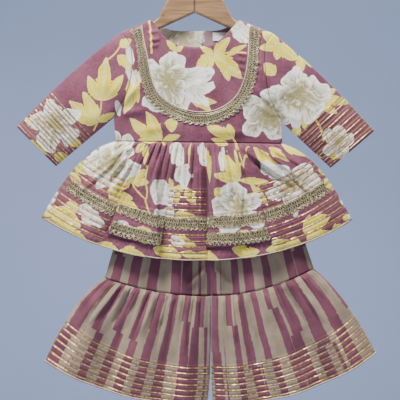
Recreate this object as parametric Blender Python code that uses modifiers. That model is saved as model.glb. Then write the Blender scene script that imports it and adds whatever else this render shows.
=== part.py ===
"""Child's sharara suit hanging on a plain wooden hanger: a kurti with a gathered peplum, and a
two-tier sharara below it. Metres, +Z up, the front faces -Y. The origin is at the inside top of
the hanger's hook. Tables hold millimetres, x from the hook's centre line and z from its inside top."""

import math

import bpy
from mathutils import Vector

MM = 0.001
CLOTH = 1.2
LACE = 1.0
SEAM = 0.3
EDGE_GAP = 0.5
# Mid-surface of a wall whose pair lies against it, one seam gap apart, on each side of y = 0.
LAID = (CLOTH + SEAM) / 2
LACE_OUT = (CLOTH + LACE) / 2 + SEAM

# Bodice, from the left shoulder seam round to the right one. The stations pair a point of the
# neckline, of the lace's inner edge and of the outer edge (shoulder tip, armhole, side, waist).
FRONT_STATIONS = (
    # neck x, z, lace x, z, edge x, z, edge depth
    (-70, -105.6, -86, -112.2, -116.8, -124.8, 6.3),
    (-63, -114, -82, -138, -102.5, -147, 9),
    (-54, -127, -76, -166, -99.5, -184, 11),
    (-43, -138, -70.5, -194, -109, -226, 9),
    (-33, -145, -62, -219, -129.6, -262.4, 0),
    (-24, -147.6, -47, -236, -127, -300, 0),
    (-12, -149, -24, -248.8, -66, -300.6, 8),
    (2, -150, 6, -255.2, 5, -301.2, 9),
    (16, -149, 34, -251.6, 74, -302.6, 8),
    (29, -146, 57, -238.5, 139.5, -304, 0),
    (37, -141, 71, -222, 139.2, -270, 0),
    (46, -133.5, 80, -198, 119, -230, 9),
    (55, -124, 84.5, -170, 111.5, -187, 11),
    (64, -114, 86, -141, 112, -148.5, 9),
    (72, -105.8, 87, -112, 124, -127.2, 6.3),
)
BACK_NECK = (
    # neck x, z at each station
    (-70, -105.6),
    (-62, -111),
    (-51, -116),
    (-41, -119.4),
    (-32, -121.2),
    (-20, -121.8),
    (-4, -121.8),
    (14, -121.8),
    (22, -121.8),
    (31, -121.4),
    (39, -120),
    (47, -117.6),
    (55, -114.2),
    (64, -110),
    (72, -105.8),
)
# Half depths of the hollow at the neck and over the hanger's arm, and how far in it changes.
NECK_DEPTH = 10.0
SHOULDER_DEPTH = 6.3
DEPTH_CHANGES = (0.7, 2.0)
CHEST_SWELL = 1.05
EDGE_SWELL = 1.2
SHOULDER_ROUND = 0.5
SHOULDER_COLUMNS = (0.0, 0.12, 0.35, 0.7)
LACE_WIDTH = 19.0
MOST_LACE_SHARE = 0.62
SLIT_HALF_GAP = 1.2
SLIT_RINGS = 2
SLIT_NARROWS = 0.35

# Sleeves: the cuff's two corners and the bow of the upper edge. The armhole is the bodice's own.
SLEEVES = {
    "left": {"cuff_top": (-284.8, -276.8), "cuff_under": (-222.4, -339.2), "side": -1},
    "right": {"cuff_top": (286.4, -283.2), "cuff_under": (217.0, -342.0), "side": 1},
}
SLEEVE_ROWS = (0.0, 0.1, 0.26, 0.44, 0.62, 0.8, 1.0)
SLEEVE_BOW = 7.0
SLEEVE_GAP = 0.8
SLEEVE_DEPTH = 9.0
SLEEVE_ROUND = 0.55
SLEEVE_SETTLES = 0.3
SLEEVE_FOLDS = (
    # share along, share across, share along, share across, height, half width
    (0.02, 0.75, 0.4, 0.35, 3.0, 0.10),
    (0.1, 0.9, 0.62, 0.62, 2.4, 0.09),
    (0.45, 0.1, 0.75, 0.5, 1.8, 0.10),
)

# Peplum: rays from the waist to the hem, u from -1 at the left side seam to 1 at the right.
WAIST_CENTRE = 6.2
WAIST_HALF = 133.3
HEM_CENTRE = 3.0
HEM_HALF = 248.4
HEM_LOW = -490.0
HEM_RISE = 66.0
HEM_CURVE = 2.25
HEM_TILT = 2.0
SIDE_BOW = 50.0
PEPLUM_COLUMNS = 56
PEPLUM_BACK_COLUMNS = 44
PEPLUM_ROWS = (0.0, 0.07, 0.17, 0.3, 0.45, 0.59, 0.635, 0.74, 0.775, 0.885, 1.0)
PEPLUM_BACK_ROWS = (0.0, 0.07, 0.17, 0.32, 0.48, 0.65, 0.76, 1.0)
LACE_ROWS = (0.65, 0.76)
PEPLUM_WAIST_DEPTH = 9.0
PEPLUM_DEPTH = 15.0
PEPLUM_FOLDS = (
    # x at the waist, x at the hem, height (out is +), half width at the waist, at the hem, first share
    (-88, -168, 2.6, 7, 20, 0.0),
    (-66, -58, 4.6, 6, 15, 0.0),
    (-50, -40, -4.2, 6, 12, 0.05),
    (-16, -10, 2.4, 8, 16, 0.0),
    (14, 22, -5.6, 6, 10, 0.08),
    (32, 48, 3.6, 7, 16, 0.0),
    (60, 104, 3.4, 8, 18, 0.0),
    (84, 158, -3.0, 7, 16, 0.0),
    (104, 188, 3.0, 8, 18, 0.1),
)
PEPLUM_BACK_FOLDS = (
    (-92, -176, 3.0, 7, 20, 0.0),
    (-60, -92, -3.6, 7, 16, 0.05),
    (-30, -36, 4.0, 7, 16, 0.0),
    (8, 14, -3.8, 7, 14, 0.0),
    (44, 70, 3.8, 7, 17, 0.0),
    (78, 134, -3.2, 7, 17, 0.1),
    (100, 186, 3.0, 8, 18, 0.0),
)
# Waves across the peplum: count, height, and the size and rate of their uneven spacing.
GATHERS = {"count": 13.0, "height": 1.3, "drift": 1.7, "rate": 3.0}
FLARES = {"count": 6.5, "height": 2.4, "drift": 0.8, "rate": 5.0}
SIDE_ROUND = 6
SIDE_CALM = 10

# Front flaps: short raised tiers that lie on the peplum, edged with lace above and below.
FLAPS = {
    # first and last column of the peplum's front
    "left": (11, 21),
    "right": (30, 42),
}
FLAP_TOP = 0.59
FLAP_LOW = 0.885
FLAP_OUT = CLOTH + 1.0
FLAP_LACES = {"upper": (0.635, 0.74), "lower": (0.775, 0.885)}

# Sharara: an elastic waistband, two upper legs and two gathered flounces.
SHARARA_CENTRE = 25.6
BAND_CENTRE = 14.0
BAND_HALF = 92.0
BAND_DEPTH = 7.9
BAND_TOP = -276.0
BAND_BOTTOM = -300.0
UPPER_ROWS = (0.0, 0.1, 0.3, 0.5, 0.7, 0.86, 1.0)
LEG_SHARES = (0.0, 0.12, 0.24, 0.36, 0.48, 0.6, 0.7, 0.8, 0.89, 0.96, 1.0)
UPPER_TOP_DEPTH = 6.4
UPPER_DEPTH = 7.5
FLOUNCE_COLUMNS = 26
FLOUNCE_ROWS = (0.0, 0.08, 0.24, 0.45, 0.72, 1.0)
FLOUNCE_TOP_DEPTH = 7.5
FLOUNCE_DEPTH = 14.0
LEGS = {
    "left": {
        "side": -1,
        "hip_x": -131.7,
        "knee_side": (-144.0, -518.4),
        "knee_low": -547.0,
        "outer_tip": (-240.0, -651.2),
        "outer_bow": 40.0,
        "inner_hem": (15.0, -720.0),
        "folds": (
            (-120, -188, 4.0, 8, 18, 0.0),
            (-92, -138, -5.0, 7, 18, 0.0),
            (-66, -92, 4.6, 7, 18, 0.05),
            (-34, -48, -4.6, 7, 16, 0.0),
            (-6, -12, 4.4, 7, 14, 0.0),
        ),
    },
    "right": {
        "side": 1,
        "hip_x": 177.6,
        "knee_side": (189.8, -503.2),
        "knee_low": -546.4,
        "outer_tip": (289.6, -638.4),
        "outer_bow": 30.0,
        "inner_hem": (34.0, -719.4),
        "folds": (
            (50, 62, 4.2, 7, 14, 0.0),
            (78, 104, -4.8, 7, 17, 0.05),
            (106, 148, 4.6, 7, 18, 0.0),
            (136, 196, -4.6, 7, 18, 0.0),
            (164, 240, 4.0, 8, 18, 0.0),
        ),
    },
}
KNEE_CURVE = 2.0
TIER_CURVE = 2.2
HIP_FALL = 0.8
SIDE_ROUND_LEG = 6
UPPER_WAVES = {"count": 5.0, "height": 0.9}
TIER_GATHERS = {"count": 6.0, "height": 1.3}
TIER_FLARES = {"count": 3.0, "height": 2.6}
TIER_FOLD_SHARE = 0.8
LEG_GAP = 1.2

# Back neck fastening and blank label.
BUTTON_RADIUS = 5.0
BUTTON_AT = (22.0, -127.5)
LOOP_WIRE = 0.9
LABEL_SIZE = (27.0, 14.0)
LABEL_AT = (42.0, -131.0)

# Hanger: two wooden arms that meet in a butt joint, and a steel hook screwed in over the joint.
ARM_THICKNESS = 10.0
ARM_BEVEL = 3.0
ARM_OUTLINE = (
    # x, z of one arm, mirrored for the other
    (0.0, -54.4),
    (14.0, -54.4),
    (27.0, -57.0),
    (37.0, -64.0),
    (46.0, -76.0),
    (54.0, -92.0),
    (60.0, -103.0),
    (66.0, -108.0),
    (76.0, -112.1),
    (105.0, -124.0),
    (109.5, -127.0),
    (111.5, -131.5),
    (110.5, -137.0),
    (106.0, -140.0),
    (101.0, -139.8),
    (60.8, -121.6),
    (0.0, -94.4),
)
HOOK_WIRE = 1.6
HOOK_INSIDE = 17.0
HOOK_STEM_BOTTOM = -54.0

collection = None


def smooth(value, first, last):
    """Smooth step from 0 at first to 1 at last."""
    share = min(max((value - first) / (last - first), 0.0), 1.0)
    return share * share * (3 - 2 * share)


def mix(a, b, share):
    return a + (b - a) * share


def along(values, position):
    """Catmull-Rom value at a place along a list, whose entries lie at 0, 1, 2 and so on."""
    last = len(values) - 1
    i = min(int(position), last - 1)
    t = position - i
    p1, p2 = values[i], values[i + 1]
    p0 = values[i - 1] if i > 0 else 2 * p1 - p2
    p3 = values[i + 2] if i + 2 <= last else 2 * p2 - p1
    return 0.5 * (
        2 * p1
        + (p2 - p0) * t
        + (2 * p0 - 5 * p1 + 4 * p2 - p3) * t * t
        + (3 * p1 - p0 - 3 * p2 + p3) * t * t * t
    )


def curved(rows, column, position, corners=()):
    """A table column at a position, smooth between corners and sharp at them."""
    bounds = [0, *corners, len(rows) - 1]
    for first, last in zip(bounds, bounds[1:]):
        if position <= last:
            part = [row[column] for row in rows[first : last + 1]]
            return along(part, position - first)
    return rows[-1][column]


def material(name, colour, roughness, metallic=0.0):
    mat = bpy.data.materials.get(name) or bpy.data.materials.new(name)
    mat.use_nodes = True
    shader = mat.node_tree.nodes["Principled BSDF"]
    shader.inputs["Base Color"].default_value = (*colour, 1.0)
    shader.inputs["Roughness"].default_value = roughness
    shader.inputs["Metallic"].default_value = metallic
    return mat


def printed_cotton():
    return material("printed_cotton", (0.29, 0.10, 0.15), 0.85)


def striped_cotton():
    return material("striped_cotton", (0.36, 0.24, 0.22), 0.85)


def gold_lace():
    return material("gold_lace", (0.42, 0.31, 0.12), 0.5)


def pale_wood():
    return material("pale_wood", (0.52, 0.38, 0.22), 0.5)


def steel():
    return material("steel", (0.6, 0.6, 0.6), 0.25, 1.0)


def white_tape():
    return material("white_tape", (0.8, 0.8, 0.78), 0.8)


def add_object(name, data, mat):
    data.materials.append(mat)
    obj = bpy.data.objects.new(name, data)
    collection.objects.link(obj)
    return obj


def add_wall(name, grid, thickness, mat, ring=False):
    """A wall of one thickness through a grid of points, rows by columns; a ring joins its ends."""
    columns = len(grid[0])
    points = [point * MM for row in grid for point in row]
    faces = []
    for r in range(len(grid) - 1):
        for c in range(columns if ring else columns - 1):
            d = (c + 1) % columns
            faces.append(
                (r * columns + c, r * columns + d, (r + 1) * columns + d, (r + 1) * columns + c)
            )
    return add_faces(name, points, faces, thickness, mat)


def add_faces(name, points, faces, thickness, mat):
    mesh = bpy.data.meshes.new(name)
    mesh.from_pydata(points, [], faces)
    mesh.shade_smooth()
    obj = add_object(name, mesh, mat)
    wall = obj.modifiers.new("Wall", "SOLIDIFY")
    wall.thickness = thickness * MM
    wall.offset = 0.0
    return obj


def normals(grid, toward):
    """Unit normals of a grid's points, on the side that the vector toward points to."""
    found = []
    rows, columns = len(grid), len(grid[0])
    for r in range(rows):
        line = []
        for c in range(columns):
            down = grid[min(r + 1, rows - 1)][c] - grid[max(r - 1, 0)][c]
            across = grid[r][min(c + 1, columns - 1)] - grid[r][max(c - 1, 0)]
            normal = across.cross(down).normalized()
            line.append(normal if normal.dot(toward) > 0 else -normal)
        found.append(line)
    return found


def moved_out(grid, toward, distance, rows, columns):
    """The grid's points in the given rows and columns, moved out along its normals."""
    away = normals(grid, toward)
    return [[grid[r][c] + away[r][c] * distance for c in columns] for r in rows]


FRONT = Vector((0, -1, 0))
BACK = Vector((0, 1, 0))
UNDERARM = 4
WAIST_CORNERS = (4, 5, 9, 10)
LAST_STATION = len(FRONT_STATIONS) - 1


def bodice_columns():
    """Places along the stations: close together at the shoulder seams, then two to a station."""
    half = [*SHOULDER_COLUMNS]
    place = 1.0
    while place < LAST_STATION / 2:
        half.append(place)
        place += 0.5
    other = [LAST_STATION - value for value in reversed(half)]
    return [*half, LAST_STATION / 2, *other]


def from_shoulder(place):
    """Stations between a place and the nearer shoulder seam."""
    return min(place, LAST_STATION - place)


def shoulder_share(place):
    """0 at a shoulder seam, rising in a quarter round to 1 where the cloth leaves the arm."""
    share = min(from_shoulder(place) / SHOULDER_ROUND, 1.0)
    return math.sqrt(1 - (1 - share) ** 2)


def edge_point(place, side):
    """Mid-surface point of the bodice's outer edge; side is -1 for the front and 1 for the back."""
    x = curved(FRONT_STATIONS, 4, place, WAIST_CORNERS)
    z = curved(FRONT_STATIONS, 5, place, WAIST_CORNERS)
    depth = max(curved(FRONT_STATIONS, 6, place, WAIST_CORNERS), 0.0) * shoulder_share(place)
    return Vector((x, side * (LAID + depth), z))


def bodice_grid(side):
    """Rings from the neckline out to the edge: neck, between, lace inner, lace outer, between, edge."""
    neck_rows = FRONT_STATIONS if side < 0 else BACK_NECK
    rings = [[] for _ in range(6)]
    for place in bodice_columns():
        rise = shoulder_share(place)
        inner = mix(SHOULDER_DEPTH, NECK_DEPTH, smooth(from_shoulder(place), *DEPTH_CHANGES))
        neck = Vector((curved(neck_rows, 0, place), 0, curved(neck_rows, 1, place)))
        lace = Vector((curved(FRONT_STATIONS, 2, place), 0, curved(FRONT_STATIONS, 3, place)))
        edge = edge_point(place, side)
        flat_edge = Vector((edge.x, 0, edge.z))
        outward = (flat_edge - lace).normalized()
        reach = min(LACE_WIDTH, MOST_LACE_SHARE * (flat_edge - lace).length)
        outer = lace + outward * reach
        middle = (inner * rise + abs(edge.y) - LAID) / 2 + EDGE_SWELL * rise
        depths = (inner * rise, inner * rise, *[inner * CHEST_SWELL * rise] * 2, middle)
        flat = (neck, mix(neck, lace, 0.5), lace, outer, mix(outer, flat_edge, 0.5))
        for ring, point, depth in zip(rings, flat, depths):
            ring.append(Vector((point.x, side * (LAID + depth), point.z)))
        rings[-1].append(edge)
    return rings


def make_bodice_front():
    grid = bodice_grid(-1)
    add_wall("kurti_bodice_front", grid, CLOTH, printed_cotton())
    lace = moved_out(grid, FRONT, LACE_OUT, (2, 3), range(len(grid[0])))
    add_wall("kurti_neck_lace", lace, LACE, gold_lace())


def make_bodice_back():
    """The back's centre column is doubled above the end of the slit, so the cloth parts there."""
    grid = bodice_grid(1)
    columns = len(grid[0])
    middle = columns // 2
    points = [point * MM for ring in grid for point in ring]
    extra = {}
    for r in range(SLIT_RINGS):
        open_by = SLIT_HALF_GAP * (1 - SLIT_NARROWS * r)
        apart = Vector((open_by, 0, 0)) * MM
        extra[r] = len(points)
        points.append(points[r * columns + middle] + apart)
        points[r * columns + middle] = points[r * columns + middle] - apart
    faces = []
    for r in range(len(grid) - 1):
        for c in range(columns - 1):
            corners = [(r, c), (r, c + 1), (r + 1, c + 1), (r + 1, c)]
            face = [
                extra[row] if col == middle and c == middle and row in extra else row * columns + col
                for row, col in corners
            ]
            faces.append(face)
    add_faces("kurti_bodice_back", points, faces, CLOTH, printed_cotton())


def sleeve_point(shape, place, share, side):
    """A point of one sleeve: place runs 0 to 4 down the armhole, share from armhole to cuff."""
    left = shape["side"] < 0
    station = place if left else LAST_STATION - place
    start = edge_point(station, side)
    step = 0.05 if left == (place < 0.1) else -0.05
    near = edge_point(station + step, side)
    tangent = Vector((near.x - start.x, 0, near.z - start.z)).normalized()
    outward = Vector((tangent.z, 0, -tangent.x))
    if outward.x * shape["side"] < 0:
        outward = -outward
    across = place / UNDERARM
    top = Vector((shape["cuff_top"][0], 0, shape["cuff_top"][1]))
    under = Vector((shape["cuff_under"][0], 0, shape["cuff_under"][1]))
    cuff = mix(top, under, across)
    point = mix(Vector((start.x, 0, start.z)) + outward * SLEEVE_GAP, cuff, share)
    point.z += SLEEVE_BOW * math.sin(math.pi * min(share, 1.0)) * (1 - across)
    rim = 0.0 if place in (0, UNDERARM) else math.sin(math.pi * across)
    depth = mix(abs(start.y), SLEEVE_DEPTH * rim**SLEEVE_ROUND, smooth(share, 0.0, SLEEVE_SETTLES))
    if rim == 0.0:
        depth = 0.0
    for t0, a0, t1, a1, height, half in SLEEVE_FOLDS:
        if t0 < share < t1:
            mid = mix(a0, a1, (share - t0) / (t1 - t0))
            ends = math.sin(math.pi * (share - t0) / (t1 - t0))
            depth += height * ends * rim * math.exp(-(((across - mid) / half) ** 2))
    point.y = side * depth
    return point


def make_sleeves():
    half = [value for value in bodice_columns() if value <= UNDERARM]
    around = [(value, -1) for value in half] + [(value, 1) for value in reversed(half[1:-1])]
    for name, shape in SLEEVES.items():
        grid = [[sleeve_point(shape, place, share, side) for place, side in around] for share in SLEEVE_ROWS]
        add_wall(f"kurti_sleeve_{name}", grid, CLOTH, printed_cotton(), ring=True)


def fold_height(folds, x, share):
    """Height of the named folds at x, at a share of the way down."""
    total = 0.0
    for x_top, x_low, height, half_top, half_low, first in folds:
        place = mix(x_top, x_low, share)
        half = mix(half_top, half_low, share)
        total += height * smooth(share, first - 0.05, first + 0.3) * math.exp(-(((x - place) / half) ** 2))
    return total


def uneven_wave(kind, u, phase):
    """A wave across the cloth whose crests are spaced unevenly."""
    turn = kind["count"] * math.pi * u + kind["drift"] * math.sin(kind["rate"] * u) + phase
    return kind["height"] * math.sin(turn)


def peplum_grid(side, columns, rows, folds):
    """Rays from the waist to the hem, bowed up at the side seams, with gathers that turn into flares."""
    grid = []
    for share in rows:
        line = []
        for c in range(columns + 1):
            u = -1 + 2 * c / columns
            waist = Vector((WAIST_CENTRE + WAIST_HALF * u, 0, waist_height(u) - EDGE_GAP))
            hem_x = HEM_CENTRE + HEM_HALF * u
            hem = Vector((hem_x, 0, HEM_LOW + HEM_RISE * abs(u) ** HEM_CURVE - HEM_TILT * u))
            bend = (waist + hem) / 2 + Vector((0, 0, SIDE_BOW * abs(u) ** 3))
            point = waist * (1 - share) ** 2 + bend * 2 * share * (1 - share) + hem * share**2
            base = mix(PEPLUM_WAIST_DEPTH, PEPLUM_DEPTH, smooth(share, 0.0, 0.28))
            rim = 1 - abs(u) ** SIDE_ROUND
            wave = uneven_wave(GATHERS, u, side) * smooth(share, 0.0, 0.06) * (1 - smooth(share, 0.3, 0.75))
            wave += uneven_wave(FLARES, u, 2 * side) * smooth(share, 0.2, 1.0)
            wave += fold_height(folds, point.x, share)
            calm = (1 - abs(u) ** SIDE_CALM) * math.sqrt(rim)
            point.y = side * (LAID + base * rim + wave * calm)
            line.append(point)
        grid.append(line)
    return grid


def waist_height(u):
    """The bodice's lower edge, from its left corner at u = -1 to its right one at u = 1."""
    return mix(FRONT_STATIONS[5][5], FRONT_STATIONS[9][5], (u + 1) / 2)


def make_peplum():
    front = peplum_grid(-1, PEPLUM_COLUMNS, PEPLUM_ROWS, PEPLUM_FOLDS)
    add_wall("kurti_peplum_front", front, CLOTH, printed_cotton())
    back = peplum_grid(1, PEPLUM_BACK_COLUMNS, PEPLUM_BACK_ROWS, PEPLUM_BACK_FOLDS)
    add_wall("kurti_peplum_back", back, CLOTH, printed_cotton())
    rows = [PEPLUM_BACK_ROWS.index(share) for share in LACE_ROWS]
    lace = moved_out(back, BACK, LACE_OUT, range(rows[0], rows[1] + 1), range(1, PEPLUM_BACK_COLUMNS))
    add_wall("kurti_hem_lace_back", lace, LACE, gold_lace())
    make_flaps(front)
    make_front_laces(front)


def make_flaps(front):
    for name, (first, last) in FLAPS.items():
        rows = range(PEPLUM_ROWS.index(FLAP_TOP), PEPLUM_ROWS.index(FLAP_LOW) + 1)
        columns = range(first, last + 1)
        flap = moved_out(front, FRONT, FLAP_OUT, rows, columns)
        add_wall(f"kurti_flap_{name}", flap, CLOTH, printed_cotton())
        for place, (top, low) in FLAP_LACES.items():
            band = [PEPLUM_ROWS.index(share) for share in (top, low)]
            lace = moved_out(front, FRONT, FLAP_OUT + LACE_OUT, band, columns)
            add_wall(f"kurti_flap_{name}_lace_{place}", lace, LACE, gold_lace())


def make_front_laces(front):
    """The hem lace shows on each side of the flaps and between them."""
    band = [PEPLUM_ROWS.index(share) for share in FLAP_LACES["upper"]]
    stretches = {
        "left": range(1, FLAPS["left"][0]),
        "middle": range(FLAPS["left"][1] + 1, FLAPS["right"][0]),
        "right": range(FLAPS["right"][1] + 1, PEPLUM_COLUMNS),
    }
    for name, columns in stretches.items():
        lace = moved_out(front, FRONT, LACE_OUT, band, columns)
        add_wall(f"kurti_hem_lace_{name}", lace, LACE, gold_lace())


def make_waistband():
    """A flat ring just inside the kurti's waist, clear of its walls by one seam gap."""
    shares = (-1, -0.97, -0.88, -0.7, -0.45, -0.15, 0.15, 0.45, 0.7, 0.88, 0.97, 1)
    around = [(share, -1) for share in shares] + [(share, 1) for share in reversed(shares[1:-1])]
    grid = []
    for z in (BAND_TOP, (BAND_TOP + BAND_BOTTOM) / 2, BAND_BOTTOM):
        line = []
        for share, side in around:
            rim = math.sqrt(max(1 - share**4, 0.0))
            depth = BAND_DEPTH * rim
            line.append(Vector((BAND_CENTRE + BAND_HALF * share, side * depth, z)))
        grid.append(line)
    add_wall("sharara_waistband", grid, 1.6, striped_cotton(), ring=True)


def knee_point(shape, share):
    """The seam between upper leg and flounce, from the centre to the outer side."""
    x = mix(SHARARA_CENTRE, shape["knee_side"][0], share)
    z = mix(shape["knee_low"], shape["knee_side"][1], share**KNEE_CURVE)
    return Vector((x, 0, z))


def leg_wave(kind, share, phase):
    return kind["height"] * math.sin(kind["count"] * 2 * math.pi * share + phase)


def upper_point(shape, share, fall, side):
    """A point of an upper leg: share from the centre seam to the outer side, fall down to the knee seam."""
    top_side = BAND_CENTRE + shape["side"] * (BAND_HALF - 1)
    top_centre = BAND_CENTRE
    top = Vector((mix(top_centre, top_side, share), 0, BAND_BOTTOM - EDGE_GAP))
    knee = knee_point(shape, share)
    hip_x = mix(SHARARA_CENTRE, shape["hip_x"], share)
    still = 1 - HIP_FALL
    bend_x = (hip_x - top.x * still**2 - knee.x * HIP_FALL**2) / (2 * HIP_FALL * still)
    bend = Vector((mix(bend_x, (top.x + knee.x) / 2, 0.3), 0, (top.z + knee.z) / 2))
    point = top * (1 - fall) ** 2 + bend * 2 * fall * (1 - fall) + knee * fall**2
    rim = math.sqrt(max(1 - share**SIDE_ROUND_LEG, 0.0))
    inseam = 1 - (1 - min(share / 0.3, 1.0)) ** 2 * smooth(fall, 0.72, 1.0)
    depth = mix(UPPER_TOP_DEPTH, UPPER_DEPTH, smooth(fall, 0.05, 0.5)) * rim * inseam
    wave = leg_wave(UPPER_WAVES, share, 1.3 * side + shape["side"])
    wave *= smooth(fall, 0.0, 0.1) * rim * min(share / 0.1, 1.0)
    depth += wave + (LAID if share == 0 else LAID * (1 - smooth(share, 0.0, 0.3)))
    point.y = side * max(depth, LAID) if share < 1 else 0.0
    point.x += shape["side"] * (SEAM / 2 + 0.05) * (1 - share)
    return point


def flounce_point(shape, share, fall, side):
    """A point of a flounce: share from the inner edge to the outer one, fall from knee seam to hem."""
    knee = knee_point(shape, share) - Vector((0, 0, EDGE_GAP))
    knee.x += shape["side"] * LEG_GAP * (1 - share)
    inner = Vector((shape["inner_hem"][0], 0, shape["inner_hem"][1]))
    tip = Vector((shape["outer_tip"][0], 0, shape["outer_tip"][1]))
    hem = Vector((mix(inner.x, tip.x, share), 0, mix(inner.z, tip.z, share**TIER_CURVE)))
    bend = (knee + hem) / 2 + Vector((0, 0, shape["outer_bow"] * share**3))
    point = knee * (1 - fall) ** 2 + bend * 2 * fall * (1 - fall) + hem * fall**2
    ends = max(1 - abs(2 * share - 1) ** SIDE_ROUND_LEG, 0.0)
    rim = math.sqrt(ends)
    depth = mix(FLOUNCE_TOP_DEPTH, FLOUNCE_DEPTH, smooth(fall, 0.0, 0.6)) * rim
    wave = leg_wave(TIER_GATHERS, share, 0.9 * side + shape["side"])
    wave *= smooth(fall, 0.0, 0.08) * (1 - smooth(fall, 0.3, 0.8))
    wave += leg_wave(TIER_FLARES, share, 2.1 * side) * smooth(fall, 0.15, 1.0)
    wave += fold_height(shape["folds"], point.x, fall) * TIER_FOLD_SHARE
    point.y = side * (depth + wave * ends) if 0 < share < 1 else 0.0
    return point


def make_legs():
    for name, shape in LEGS.items():
        around = [(share, -1) for share in LEG_SHARES] + [(share, 1) for share in reversed(LEG_SHARES[:-1])]
        grid = [[upper_point(shape, share, fall, side) for share, side in around] for fall in UPPER_ROWS]
        add_wall(f"sharara_upper_{name}", grid, CLOTH, striped_cotton())
        shares = [c / FLOUNCE_COLUMNS for c in range(FLOUNCE_COLUMNS + 1)]
        around = [(share, -1) for share in shares] + [(share, 1) for share in reversed(shares[1:-1])]
        grid = [[flounce_point(shape, share, fall, side) for share, side in around] for fall in FLOUNCE_ROWS]
        add_wall(f"sharara_flounce_{name}", grid, CLOTH, striped_cotton(), ring=True)


def add_wire(name, points, radius, mat, resolution, closed=False):
    """A round wire through points, with filled ends."""
    curve = bpy.data.curves.new(name, "CURVE")
    curve.dimensions = "3D"
    curve.bevel_depth = radius * MM
    curve.bevel_resolution = resolution
    curve.use_fill_caps = not closed
    spline = curve.splines.new("POLY")
    spline.points.add(len(points) - 1)
    for place, point in zip(spline.points, points):
        place.co = (*(point * MM), 1.0)
    spline.use_cyclic_u = closed
    return add_object(name, curve, mat)


def make_fastening():
    """A cloth-covered button behind the slit, and the cord loop that goes round it."""
    x, z = BUTTON_AT
    back = LAID + NECK_DEPTH + CLOTH / 2 + SEAM
    bpy.ops.mesh.primitive_cylinder_add(vertices=20, radius=BUTTON_RADIUS * MM, depth=3.2 * MM)
    button = bpy.context.object
    button.name = "kurti_neck_button"
    button.data.materials.append(printed_cotton())
    button.rotation_euler = (math.pi / 2, 0, 0)
    button.location = (x * MM, (back + 2.6) * MM, z * MM)
    for other in button.users_collection:
        other.objects.unlink(button)
    collection.objects.link(button)
    edge = button.modifiers.new("Edge", "BEVEL")
    edge.width = 1.0 * MM
    edge.segments = 2
    reach = BUTTON_RADIUS + LOOP_WIRE + SEAM
    loop = [Vector((x - 15.0, back + LOOP_WIRE, z + 2.5)), Vector((x - 9.0, back + LOOP_WIRE, z + 3.6))]
    for step in range(13):
        angle = math.radians(140 - step * 23.3)
        loop.append(Vector((x + reach * math.cos(angle), back + LOOP_WIRE, z + reach * math.sin(angle))))
    loop.append(Vector((x - 9.0, back + LOOP_WIRE, z - 3.6)))
    loop.append(Vector((x - 15.0, back + LOOP_WIRE, z - 2.5)))
    add_wire("kurti_neck_loop", loop, LOOP_WIRE, gold_lace(), 1)


def make_label():
    """A blank tape sewn inside the back neck."""
    bpy.ops.mesh.primitive_cube_add(size=1)
    label = bpy.context.object
    label.name = "kurti_neck_label"
    label.data.materials.append(white_tape())
    thick = 1.0
    front = LAID + NECK_DEPTH - CLOTH / 2 - SEAM - thick / 2
    label.scale = (LABEL_SIZE[0] * MM, thick * MM, LABEL_SIZE[1] * MM)
    label.location = (LABEL_AT[0] * MM, front * MM, LABEL_AT[1] * MM)
    for other in label.users_collection:
        other.objects.unlink(label)
    collection.objects.link(label)


def make_hanger():
    for name, side in (("left", -1), ("right", 1)):
        curve = bpy.data.curves.new(f"hanger_arm_{name}", "CURVE")
        curve.dimensions = "2D"
        curve.fill_mode = "BOTH"
        curve.extrude = (ARM_THICKNESS / 2 - ARM_BEVEL) * MM
        curve.bevel_depth = ARM_BEVEL * MM
        curve.bevel_resolution = 1
        curve.offset = -ARM_BEVEL * MM
        spline = curve.splines.new("POLY")
        spline.points.add(len(ARM_OUTLINE) - 1)
        for place, (x, z) in zip(spline.points, ARM_OUTLINE):
            joint = SEAM / 2 if x == 0 else 0
            place.co = (side * (x + joint) * MM, z * MM, 0, 1)
        spline.use_cyclic_u = True
        arm = add_object(f"hanger_arm_{name}", curve, pale_wood())
        arm.rotation_euler = (math.pi / 2, 0, 0)


def make_hook():
    """A steel wire hook: its stem rises over the joint, bends back and rounds over the origin."""
    reach = HOOK_INSIDE + HOOK_WIRE
    centre = -HOOK_INSIDE
    points = [Vector((0, 0, HOOK_STEM_BOTTOM)), Vector((0, 0, centre - reach - 3))]
    for step in range(19):
        angle = math.radians(-90 + step * 15)
        points.append(Vector((reach * math.cos(angle), 0, centre + reach * math.sin(angle))))
    add_wire("hanger_hook", points, HOOK_WIRE, steel(), 2)


def main():
    global collection
    for obj in list(bpy.data.objects):
        bpy.data.objects.remove(obj, do_unlink=True)
    collection = bpy.data.collections.new("sharara_suit")
    bpy.context.scene.collection.children.link(collection)
    make_bodice_front()
    make_bodice_back()
    make_sleeves()
    make_peplum()
    make_waistband()
    make_legs()
    make_fastening()
    make_label()
    make_hanger()
    make_hook()


main()
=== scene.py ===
import math

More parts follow.
